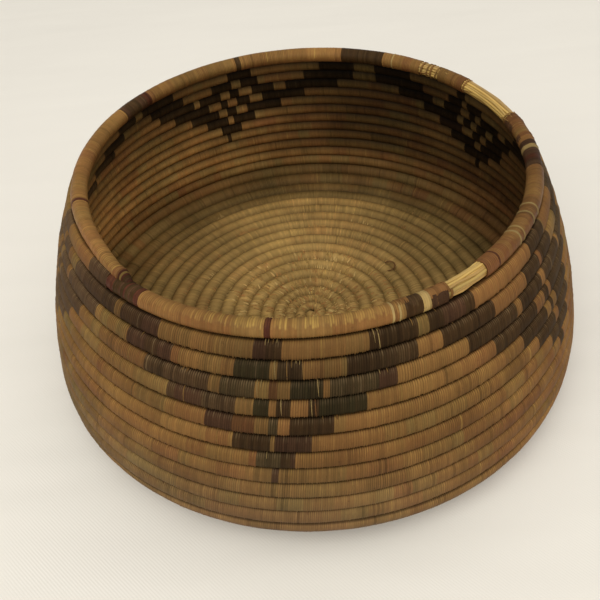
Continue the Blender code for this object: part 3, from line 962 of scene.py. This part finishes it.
def fill_lay(tree, entry):
    """Masks of a sewn cord: seam between rounds, groove between strands, and its outer side."""
    lay = tree.value("ShaderNodeAttribute", "Vector", attribute_name="lay")
    out, across, crest = tree.split("ShaderNodeSeparateXYZ", lay)
    return {
        "Seam": abs(across).ramp(0.80, 0.99),
        "Groove": crest.ramp(0.0, 0.5, 1.0, 0.0),
        "Outside": out.ramp(-0.4, 0.4),
        "Shoulder": across.ramp(-0.25, -0.85),
        "Hollow": abs(across).ramp(0.14, 0.95),
        "Down": across,
        "Crest": crest.ramp(0.25, 0.85),
    }


def fill_fibre(tree, entry):
    """Grain of split fibre, which runs along each strand."""
    spot = tree.value("ShaderNodeUVMap", 0, uv_map="Strands")
    along, across, _ = tree.split("ShaderNodeSeparateXYZ", spot)
    vector = tree.value("ShaderNodeCombineXYZ", 0, {
        0: along * 0.32, 1: across * entry["Fineness"], 2: entry["Shift"]})
    return {
        "Grain": tree.noise(vector, 1.0, 3.0, 0.6),
        "Fleck": tree.noise(vector, 0.45, 1.0).ramp(0.62, 0.75),
    }


def fill_stains_and_light(tree, entry):
    """Stains and specks that spread over many strands, dust low on the outside, and painted light and shade
    by place in the basket.
    """
    spot = tree.value("ShaderNodeTexCoord", "Object")
    x, _, z = tree.split("ShaderNodeSeparateXYZ", spot)
    flat = tree.value("ShaderNodeVectorMath", 0, {0: spot, 1: (1.0, 1.0, 0.0)}, operation="MULTIPLY")
    radius = tree.value("ShaderNodeVectorMath", "Value", {0: flat}, operation="LENGTH")
    # Painted light on the inner floor: a bright pool, a little less bright at the very middle, with painted
    # shade towards the left and right walls, more on the right
    middle = radius.ramp(0.020, 0.048, 1.30, 1.50) * radius.ramp(0.055, 0.085, 1.0, 1.04)
    middle = middle * abs(x).ramp(0.02, 0.07, 1.0, 0.72) * x.ramp(0.0, 0.06, 1.0, 0.84)
    # Painted shade high on the inner wall on the left, deepest just under the rim
    shade = z.ramp(0.045, 0.068) * x.ramp(-0.01, -0.05)
    top = z.ramp(0.076, 0.090) * x.ramp(0.01, -0.04)
    # Painted light on the inner wall: lit on the left, shaded on the right, times the painted shade under the
    # rim
    wall = x.ramp(-0.10, 0.05, 2.15, 0.36) * shade.fade(0.80) * top.fade(0.70)
    # Painted shade in the inner heel, where the floor meets the wall, least on the left
    heel = radius.ramp(0.092, 0.104) * z.ramp(0.024, 0.013)
    dark = x.ramp(-0.09, -0.02, 0.84, 0.40) * x.ramp(0.03, 0.08, 1.0, 1.5)
    # Brightness of the outside: darker than its written colours, with painted light that makes it lighter to
    # the left and most to the right, and a little darker higher up
    skin = x.ramp(-0.10, -0.02, 0.56, 0.505) * x.ramp(0.0, 0.09, 1.0, 1.31)
    return {
        "Blotch": tree.noise(spot, 26.0) * 0.6 + tree.noise(spot, 120.0, 3.0, 0.6) * 0.4,
        "Speck": tree.noise(spot, 700.0).ramp(0.66, 0.76),
        # Patches where the grooves between strands take painted shade
        "Open": tree.noise(spot, 60.0, 3.0, 0.6).ramp(0.42, 0.70, 0.08, 1.0),
        "Height": z,
        # Painted light and shade inside: the floor's pool, the wall's lit and shaded sides, the heel's shade
        "Bowl": tree.blend(z.ramp(0.012, 0.034), middle, wall) * heel.fade(dark),
        "Low": z.ramp(0.055, 0.015) * x.ramp(0.08, -0.02, 0.08, 0.32),
        "Skin": skin * z.ramp(0.045, 0.085, 1.0, 0.97),
        # Painted light on the rim: lighter on the left, shaded on the right
        "Rim": x.ramp(0.02, 0.09, 1.0, 0.74) * x.ramp(-0.09, -0.05, 1.15, 1.0),
    }


def fill_strand(tree, entry):
    """Colour, roughness and height of split strand, from its own marks, with painted light and shade by its
    place on the cord and in the basket.
    """
    strand = tree.node("ShaderNodeAttribute", attribute_name="strand").outputs
    tone, hue, wear = tree.split("ShaderNodeSeparateColor", strand["Color"])
    polish = Value(tree, strand["Alpha"])
    lay = tree.group("Cord lay", fill_lay)
    fibre = tree.group("Fibre grain", fill_fibre, Fineness=6.0, Shift=tone * 43.0)
    stains_and_light = tree.group("Stains and painted light", fill_stains_and_light)
    outside, down, grain, height = lay["Outside"], lay["Down"], fibre["Grain"], stains_and_light["Height"]
    inside = 1 - outside
    sewn = 1 - polish

    hue = hue - inside * sewn * 0.08
    colour = tree.mix(hue.ramp(0.5, 0.0, smooth=False), entry["Colour"], entry["Cool"])
    colour = tree.mix(hue.ramp(0.5, 1.0, smooth=False), colour, entry["Warm"])
    mark = tone * 971.0 + hue * 377.0
    chance = tree.value("ShaderNodeTexWhiteNoise", "Value", {"W": mark}, noise_dimensions="1D")
    ragged = down + chance * -0.5
    where = tree.blend(polish, 1 - lay["Seam"], ragged.ramp(-0.42, -0.72))
    # Paler upper shoulder of each round outside: partly rubbed wear, partly a painted highlight on the top of
    # the round; rubbed below holds both
    fringe = chance.ramp(0.1, 1.0, 0.25, 1.0) * entry["Fringe"] * (lay["Shoulder"] * outside)
    rubbed = wear * where * lay["Crest"].ramp(0.0, 1.0, 0.45, 1.0) + fringe * sewn * lay["Crest"]
    rubbed = tree.math("MULTIPLY", rubbed, grain.ramp(0.3, 0.6, 0.6, 1.2), clamp=True)
    colour = tree.mix(rubbed, colour, entry["Worn"])
    colour = tree.mix(outside * stains_and_light["Low"] + inside * sewn * 0.05, colour, DUST)

    bright = tone.ramp(0.0, 1.0, 0.58, 1.42, smooth=False) * grain.ramp(0.25, 0.75, 0.86, 1.14)
    bright = bright * stains_and_light["Blotch"].ramp(0.3, 0.7, 0.80, 1.18)
    # Painted shade in the grooves between strands, in patches
    bright = bright * (lay["Groove"] * stains_and_light["Open"]).ramp(0.0, 1.0, 1.03, 0.46, smooth=False)
    # Darker seams between rounds: painted shade with some dirt, weaker inside, and on the rim only along its
    # lower seam
    seam = lay["Seam"] * inside.fade(0.30) * polish.fade(down.ramp(0.0, 0.2))
    bright = bright * seam.fade(0.44)
    # Painted shade in the hollows between rounds inside, deeper higher up the wall, with the crowns painted a
    # little lighter
    depth = height.ramp(0.018, 0.045, 0.62, 0.46)
    bright = bright * (inside * lay["Hollow"] * sewn).ramp(0.0, 1.0, 1.14, depth, smooth=False)
    # Painted light on each round outside: lighter on its top, painted shade on its underside
    bright = bright * (down * (outside * sewn)).ramp(-1.0, 1.0, 1.12, 0.84, smooth=False)
    bright = bright * stains_and_light["Speck"].fade(0.8)
    # Painted shade up the inner wall, deepest near the rim
    inner = height.ramp(0.005, 0.06, 1.02, 0.80) * height.ramp(0.050, 0.092, 1.0, 0.70)
    # Brightness by side: the inside takes its painted light and shade, the outside its outer brightness
    side = tree.blend(outside, inner * (stains_and_light["Bowl"] * entry["Inside"]), stains_and_light["Skin"])
    # Painted light on the rim by the way each part faces, with painted shade on its inner underside
    under = inside * down.ramp(0.0, 0.8)
    rim_light = down.ramp(-0.45, 0.15, 0.66, 0.72) * stains_and_light["Rim"] * under.fade(0.45)
    return {
        "Colour": tree.shade(colour, bright * tree.blend(polish, side, rim_light)),
        "Roughness": grain.ramp(0.2, 0.8, 0.52, 0.72) - polish * 0.17 + lay["Seam"] * 0.15,
        "Height": grain + fibre["Fleck"] * 0.4,
    }


def new_material(name):
    """A material with a bare Principled shader, and a helper for its tree."""
    material = bpy.data.materials.new(name)
    material.use_nodes = True
    return material, Tree(material.node_tree), material.node_tree.nodes["Principled BSDF"].inputs


def dress(tree, shader, colour, roughness, height, distance, strength):
    """Join colour, roughness and relief to a material's shader."""
    bump = tree.value("ShaderNodeBump", 0, {"Height": height, "Distance": distance, "Strength": strength})
    for label, value in (("Base Color", colour), ("Roughness", roughness), ("Normal", bump)):
        tree.feed(shader[label], value)


def strand_material(kind):
    """Material of one dye, made once."""
    label = kind.capitalize() + " strand"
    if label in bpy.data.materials:
        return bpy.data.materials[label]
    colours = settings()[1]
    cool, warm, worn = {
        "tan": (colours.olive, colours.rust, colours.worn),
        "dark": (colours.green_black, colours.plum, colours.faded),
        "red": (colours.plum, colours.red, colours.rust),
        "pale": (colours.worn, colours.pale, colours.pale),
    }[kind]
    # Per dye: strength of the paler upper shoulder (rubbed wear and painted highlight), brightness inside,
    # and specular level
    fringe, inside, shine = (0.6, 0.62, 0.04) if kind == "dark" else (0.3, 1.0, 0.07)
    material, tree, shader = new_material(label)
    dressed = tree.group(
        "Split strand", fill_strand, Colour=getattr(colours, kind), Cool=cool, Warm=warm, Worn=worn,
        Fringe=fringe, Inside=inside)
    dress(tree, shader, dressed["Colour"], dressed["Roughness"], dressed["Height"], 0.00012, 0.6)
    shader["Specular IOR Level"].default_value = shine
    return material


def straw_material():
    """Bare grass stems: glossy, streaked along, with blotches."""
    colours = settings()[1]
    material, tree, shader = new_material("Bare grass")
    strand = tree.value("ShaderNodeAttribute", "Color", attribute_name="strand")
    tone, hue, wear = tree.split("ShaderNodeSeparateColor", strand)
    grain = tree.group("Fibre grain", fill_fibre, Fineness=3.0, Shift=tone * 31.0)["Grain"]
    blotch = tree.group("Stains and painted light", fill_stains_and_light)["Blotch"]
    colour = tree.mix(wear * 0.7, tree.mix(hue, colours.straw, colours.worn), colours.tan)
    bright = tone.ramp(0.0, 1.0, 0.7, 1.3) * grain.ramp(0.2, 0.8, 0.8, 1.2) * blotch.ramp(0.3, 0.7, 0.8, 1.1)
    dress(tree, shader, tree.shade(colour, bright), grain.ramp(0.2, 0.8, 0.35, 0.55), grain, 0.00015, 0.6)
    return material


class BASKET_OT_floor_rounds(bpy.types.Operator):
    """Sew the floor's rounds, from the start of the cord out to the heel"""

    bl_idname = "basket.floor_rounds"
    bl_label = "Floor rounds"

    def execute(self, context):
        cord = Cord(settings()[0])
        rounds = math.ceil(cord.turns) - LAST_WALL_ROUND
        for number in range(rounds):
            start = LAST_WALL_ROUND + number
            piece = sewn_round(f"floor_round_{rounds - number:02d}", cord, start, min(start + 1, cord.turns))
            place(piece, "olive", "floor_coil")
        return {"FINISHED"}


class BASKET_OT_start_knot(bpy.types.Operator):
    """Wind the cord's thin start round itself in the middle of the floor"""

    bl_idname = "basket.start_knot"
    bl_label = "Start of the cord"

    def execute(self, context):
        cord = Cord(settings()[0])
        piece = sewn_round("start_knot_wound", cord, cord.turns, cord.turns + KNOT_TURNS)
        place(piece, "straw", "start_knot")
        return {"FINISHED"}


class BASKET_OT_wall_rounds(bpy.types.Operator):
    """Sew the wall's rounds, from the heel up to the round below the rim"""

    bl_idname = "basket.wall_rounds"
    bl_label = "Wall rounds"

    def execute(self, context):
        cord = Cord(settings()[0])
        for label, first, last, node, slot in WALL_STRETCHES:
            for number in range(first, last + 1):
                name = f"{label}_round_{last - number + 1}"
                place(sewn_round(name, cord, number - 1, number), slot, node)
        return {"FINISHED"}


class BASKET_OT_rim_strands(bpy.types.Operator):
    """Wind the strands that are left on the rim"""

    bl_idname = "basket.rim_strands"
    bl_label = "Rim strands"

    def execute(self, context):
        cord = Cord(settings()[0])
        for node, slot, dye, start, end in RIM_STRANDS:
            name = node.replace("wrap", "strands").replace("tick", "tick_strands")
            place(rim_strand(name + "_wound", cord, dye, start, end), slot, node)
        return {"FINISHED"}


class BASKET_OT_long_stitches(bpy.types.Operator):
    """Lay the long and loose stitches that show over the rounds"""

    bl_idname = "basket.long_stitches"
    bl_label = "Long stitches"

    def execute(self, context):
        cord = Cord(settings()[0])
        rng = np.random.default_rng(STITCH_SEED)
        outside, inside = Gathering(), Gathering()
        steps = np.linspace(0, 1, 6)

        def lay(gathering, turns, first, last, half_width, dye, lean=0.00008):
            slant = rng.normal(0, lean)
            angles = np.radians(first + (last - first) * steps)
            path, normals = cord_surface(cord, turns + slant * steps, angles, 0.00004)
            gathering.add(*ribbon(path, normals, half_width * (1 - 0.7 * steps**3), 0.00009), dye)

        # Long stitches outside, from the upper seam down
        for number, stitches in LONG_STITCHES.items():
            for degrees, dye, share in stitches:
                lay(outside, round_turns(number, degrees), -86, -86 + 172 * share**1.3, 0.00019, dye)

        # Short pale ends in the upper seams of the wall
        for number in range(2, 13):
            for _ in range(SHORT_ENDS):
                turns = number - 1 + rng.random()
                on_dark = DYES[dye_names(np.array([turns]))[0]][0] == "dark"
                dye = rng.choice(("tan", "gold", "faded") if on_dark else ("gold", "olive", "rust", "bright"))
                lay(outside, turns, -84, rng.uniform(-66, -30), rng.uniform(0.00014, 0.00022), dye)

        # Rows of pale stitches on the floor inside
        for _ in range(FLOOR_ROWS):
            turns = 15 + (cord.turns - 15.5) * rng.random()**0.8
            side = rng.choice((-1, 1))
            spacing = rng.uniform(0.0009, 0.0016) / float(cord.ring_length(turns))
            dye = rng.choice(("bright", "pale", "worn", "gold"), p=(0.2, 0.25, 0.2, 0.35))
            for step in range(rng.integers(3, 14)):
                spot = min(turns + step * spacing, cord.turns - 0.2)
                lay(inside, spot, side * 98, side * rng.uniform(118, 160), rng.uniform(0.0003, 0.00045), dye)

        # Crowded stitches on the first rounds of the cord
        for _ in range(START_STITCHES):
            turns = cord.turns - 0.2 - 5.6 * rng.random()
            dye = rng.choice(("bright", "pale", "worn", "olive", "gold"))
            first = rng.uniform(100, 200)
            lean = abs(rng.uniform(-0.02, 0.02) / (cord.turns + 0.8 - turns))
            lay(inside, turns, first, first + rng.uniform(26, 60), rng.uniform(0.0003, 0.0006), dye, lean)

        # Dark flecks on the floor, each on the round that is nearest
        for x, y in FLOOR_FLECKS:
            degrees = math.degrees(math.atan2(y, x))
            turns = np.array([round_turns(number, degrees) for number in range(16, 30)])
            nearest = turns[np.argmin(np.abs(lengths(cord.frame(turns)[0][:, :2]) - math.hypot(x, y)))]
            for shift in (-0.0007, 0.0, 0.0007):
                lay(inside, nearest + shift, 97, 128, 0.0003, "dark")

        # Strands over the rim's wrappings
        for first, last, low, high, dye in RIM_STITCHES:
            for degrees in np.arange(first, last, RIM_STITCH_SPACING):
                turns = 1 - (degrees + rng.uniform(0, 0.1)) / 360
                lay(outside, turns, low + rng.uniform(-9, 9), high, 0.00042, dye)

        # Stitches that wander over the knot
        for _ in range(KNOT_STITCHES):
            turns = cord.turns + rng.uniform(-1.6, 1.0)
            dye = rng.choice(("worn", "olive", "gold", "bright"))
            first = rng.uniform(80, 190)
            lay(inside, turns, first, first + rng.uniform(30, 60), rng.uniform(0.0003, 0.00055), dye, 0.02)
        place(outside.make("long_stitches_outside"), "tan")
        place(inside.make("long_stitches_inside", (-1.0, 0.4, 1.0)), "straw")
        return {"FINISHED"}


class BASKET_OT_tail_tip(bpy.types.Operator):
    """Bind the cord's thin end down onto the round below"""

    bl_idname = "basket.tail_tip"
    bl_label = "Tail tip"

    def execute(self, context):
        cord = Cord(settings()[0])
        rings = 2 * len(TIP_DYES) + 1
        share = np.linspace(0, 1, rings)
        turns = 0.0002 - (TAIL_OVERHANG_DEGREES + share * TIP_DEGREES) / 360
        middle, out, across = cord.frame(turns)
        middle = middle + across * (TIP_DROP * share**1.4)[:, None]
        crest = np.arange(rings) % 2
        radii = cord.radius(turns) * (1.04 - 0.62 * share**1.2) + 0.00012 * crest
        angles = np.arange(TIP_SIDES)[None, :] * math.tau / TIP_SIDES
        points = middle[:, None] + towards(out[:, None], across[:, None], angles) * radii[:, None, None]
        tip = Gathering()
        for strand, dye in enumerate(TIP_DYES):
            tip.add(points[2 * strand:2 * strand + 3], closed_faces(3, TIP_SIDES, flip=True), dye)
        place(tip.make("tail_tip_wound"), "red")
        return {"FINISHED"}


class BASKET_OT_loose_ends(bpy.types.Operator):
    """Lay the broken strands on the floor and where the rim is bare"""

    bl_idname = "basket.loose_ends"
    bl_label = "Loose ends"

    def execute(self, context):
        cord = Cord(settings()[0])
        rng = np.random.default_rng(LOOSE_SEED)
        ends = Gathering()
        curl = bezier(CURL_POINTS, np.linspace(0, 1, 30))
        ends.add(*ribbon(curl, np.tile((0.0, 0.0, 1.0), (30, 1)), np.full(30, 0.00038), 0.00016), "rust")
        for degrees, dye, lean in LOOSE_TURNS:
            angles = np.linspace(-0.3, math.tau - 0.5 + rng.uniform(0, 0.6), 36)
            turns = 1 - degrees / 360 + lean / 360 * np.linspace(-1, 1, 36)
            middle, out, across = cord.frame(turns)
            normals = towards(out, across, angles)
            reach = cord.radius(turns) - 0.00022 + rng.uniform(0, 0.0001)
            width = np.full(36, rng.uniform(0.0004, 0.0005))
            ends.add(*ribbon(middle + normals * reach[:, None], normals, width, 0.00013), dye)
        for degrees, angle, rise, dye in FRAYED_ENDS:
            turns = 1 - degrees / 360 + np.linspace(0, 0.012, 10)
            middle, out, across = cord.frame(turns)
            normals = towards(out, across, np.radians(angle) + np.linspace(0, 0.5, 10))
            reach = cord.radius(turns) - 0.0001 + rise * np.linspace(0, 1, 10)**2
            width = np.linspace(0.00032, 0.00012, 10)
            ends.add(*ribbon(middle + normals * reach[:, None], normals, width, 0.0001), dye)
        place(ends.make("loose_ends"), "straw")
        return {"FINISHED"}


class BASKET_OT_grass_bundle(bpy.types.Operator):
    """Lay the rim's grass bundle, with its stems where it is bare"""

    bl_idname = "basket.grass_bundle"
    bl_label = "Grass bundle"

    def execute(self, context):
        sizes = settings()[0]
        cord = Cord(sizes)
        rng = np.random.default_rng(GRASS_SEED)
        bundle = Gathering()
        turns = np.linspace(-TAIL_OVERHANG_DEGREES / 360 + 0.0008, 0.9992, 500)
        degrees = (1 - turns) * 360
        bare = sum(((degrees > start) & (degrees < end)).astype(float) for start, end in BARE_STRETCHES)
        core = cord.radius(turns) - sizes.strand_thickness * 1.2 - sizes.stem_radius * bare
        middle = cord.frame(turns)[0]
        onward = (middle[0] - middle[3]) / np.linalg.norm(middle[0] - middle[3])
        middle = np.concatenate(([middle[0] + onward * step for step, _ in DOME], middle))
        core = np.concatenate(([core[0] * share for _, share in DOME], core))
        bundle.add(*tube(middle, core, 14), (0.6, 0.2, 0.2, 0))

        def waver(count, size):
            """Random drift along a stem, in so many steps."""
            along = np.linspace(0, count - 1, STEM_STEPS)
            return np.interp(along, np.arange(count), rng.normal(0, size, count))

        for start, end in BARE_STRETCHES:
            for stem in range(sizes.stem_count):
                angle = 2 * math.pi * (stem + rng.uniform(-0.15, 0.15)) / sizes.stem_count
                first = 1 - (end + STEM_OVERLAP_DEGREES) / 360
                last = 1 - (start - STEM_OVERLAP_DEGREES) / 360
                span = np.linspace(first, last, STEM_STEPS)
                middle, out, across = cord.frame(span)
                sway = waver(8, 0.00012)
                bent = angle + waver(6, 0.07)
                reach = cord.radius(span) - sizes.strand_thickness - sizes.stem_radius * 0.9 + sway
                path = middle + towards(out, across, bent) * reach[:, None]
                thick = sizes.stem_radius * rng.uniform(0.8, 1.15)
                radii = thick * (1 + waver(10, 0.06))
                mark = (rng.uniform(0.3, 1.0), rng.uniform(0, 0.5), rng.uniform(0.0, 0.8), 0)
                bundle.add(*tube(path, radii, 8), mark)
        piece = bundle.finish("rim_grass_bundle", [straw_material()], None, bundle.marks(), (0.0, 0.0, 1.0))
        place(piece, "straw", "rim_core")
        return {"FINISHED"}


class BASKET_OT_stage(bpy.types.Operator):
    """Lay the cloth, hang the soft lamps and set the camera"""

    bl_idname = "basket.stage"
    bl_label = "Stage"

    def execute(self, context):
        colours = settings()[1]
        set_camera()
        lay_cloth(colours)
        light_stage(colours)
        context.scene.view_settings.view_transform = "Standard"
        return {"FINISHED"}


def set_camera():
    """Camera at the angle from which the basket is seen."""
    sine, cosine = math.sin(CAMERA_ELEVATION), math.cos(CAMERA_ELEVATION)
    forward, right, up = Vector((0, cosine, -sine)), Vector((1, 0, 0)), Vector((0, sine, cosine))
    turned_right = right * math.cos(CAMERA_ROLL) + up * math.sin(CAMERA_ROLL)
    turned_up = up * math.cos(CAMERA_ROLL) - right * math.sin(CAMERA_ROLL)
    data = bpy.data.cameras.new("camera")
    data.sensor_width = CAMERA_SENSOR
    data.lens = CAMERA_LENS
    data.clip_start = 0.01
    camera = bpy.data.objects.new("camera", data)
    matrix = Matrix((turned_right, turned_up, -forward)).transposed().to_4x4()
    matrix.translation = CAMERA_TARGET - forward * CAMERA_DISTANCE
    camera.matrix_world = matrix
    bpy.context.collection.objects.link(camera)
    bpy.context.scene.camera = camera


def lay_cloth(colours):
    """A wide pale cloth under the basket."""
    line = np.linspace(-CLOTH_REACH, CLOTH_REACH, CLOTH_STEPS)
    x, y = np.meshgrid(line, line, indexing="ij")
    index = np.arange(CLOTH_STEPS - 1)
    corner = (index[:, None] * CLOTH_STEPS + index).ravel()
    faces = np.stack((corner, corner + CLOTH_STEPS, corner + CLOTH_STEPS + 1, corner + 1), axis=1)
    material, tree, shader = new_material("Cloth")
    spot = tree.value("ShaderNodeTexCoord", "Object")
    shaded = [part * CLOTH_SHADE for part in colours.cloth]
    colour = tree.mix(tree.noise(spot, 3.0).ramp(0.3, 0.7), colours.cloth, shaded)
    weave = tree.value("ShaderNodeTexWave", "Fac", {
        "Vector": spot, "Scale": 420.0, "Distortion": 0.6}, bands_direction="DIAGONAL")
    turned = tree.value("ShaderNodeMapping", 0, {
        "Vector": spot, "Rotation": (0.0, 0.0, 0.6), "Scale": (1.0, 3.5, 1.0)})
    dress(tree, shader, colour, 0.95, weave * 0.04 + tree.noise(turned, 5.0) * 6.0, 0.002, 0.35)
    shader["Specular IOR Level"].default_value = 0.1
    make_mesh("stage_cloth", np.stack((x, y, np.zeros_like(x)), axis=-1), [faces], [material])


def light_stage(colours):
    """Light from all round and wide soft lamps overhead."""
    world = bpy.data.worlds.new("sky")
    world.use_nodes = True
    bpy.context.scene.world = world
    tree = Tree(world.node_tree)
    nodes = world.node_tree.nodes
    sky = nodes["Background"]
    sky.inputs["Color"].default_value = (1.0, 1.0, 1.0, 1)
    sky.inputs["Strength"].default_value = colours.sky
    seen = tree.value("ShaderNodeBackground", 0, {"Color": BACKDROP, "Strength": 1.0})
    path = tree.node("ShaderNodeLightPath").outputs
    share = tree.math("MAXIMUM", path["Is Camera Ray"], path["Is Transmission Ray"])
    mixed = tree.value("ShaderNodeMixShader", 0, {0: share, 1: sky.outputs[0], 2: seen})
    tree.feed(nodes["World Output"].inputs["Surface"], mixed)
    for name, spot, size, power_share in LAMPS:
        data = bpy.data.lights.new(name, "AREA")
        data.shape = "DISK"
        data.size = size
        data.energy = colours.lamp * power_share
        lamp = bpy.data.objects.new(name, data)
        lamp.location = spot
        lamp.rotation_euler = (LAMP_TARGET - lamp.location).to_track_quat("-Z", "Y").to_euler()
        bpy.context.collection.objects.link(lamp)


# The operators, in the order in which they are called
OPERATORS = (
    BASKET_OT_stage,
    BASKET_OT_floor_rounds,
    BASKET_OT_start_knot,
    BASKET_OT_wall_rounds,
    BASKET_OT_rim_strands,
    BASKET_OT_long_stitches,
    BASKET_OT_tail_tip,
    BASKET_OT_loose_ends,
    BASKET_OT_grass_bundle,
)


class BASKET_PT_maker(bpy.types.Panel):
    """Sizes, colours and steps of the basket"""

    bl_idname = "BASKET_PT_maker"
    bl_label = "Coiled basket"
    bl_space_type = "VIEW_3D"
    bl_region_type = "UI"
    bl_category = "Basket"

    def draw(self, context):
        for group in settings():
            column = self.layout.column()
            for name in group.__annotations__:
                column.prop(group, name)
        for operator in OPERATORS:
            self.layout.operator(operator.bl_idname)


CLASSES = (BasketSizes, BasketColours, *OPERATORS, BASKET_PT_maker)


def register():
    """Add the basket's classes and settings."""
    for made in CLASSES:
        bpy.utils.register_class(made)
    bpy.types.Scene.basket_sizes = PointerProperty(type=BasketSizes)
    bpy.types.Scene.basket_colours = PointerProperty(type=BasketColours)


def unregister():
    """Take the basket's classes and settings away."""
    del bpy.types.Scene.basket_colours
    del bpy.types.Scene.basket_sizes
    for made in reversed(CLASSES):
        bpy.utils.unregister_class(made)


def main():
    """Make the basket piece by piece."""
    register()
    bpy.ops.basket.stage()
    bpy.ops.basket.floor_rounds()
    bpy.ops.basket.start_knot()
    bpy.ops.basket.wall_rounds()
    bpy.ops.basket.rim_strands()
    bpy.ops.basket.long_stitches()
    bpy.ops.basket.tail_tip()
    bpy.ops.basket.loose_ends()
    bpy.ops.basket.grass_bundle()


if __name__ == "__main__":
    main()
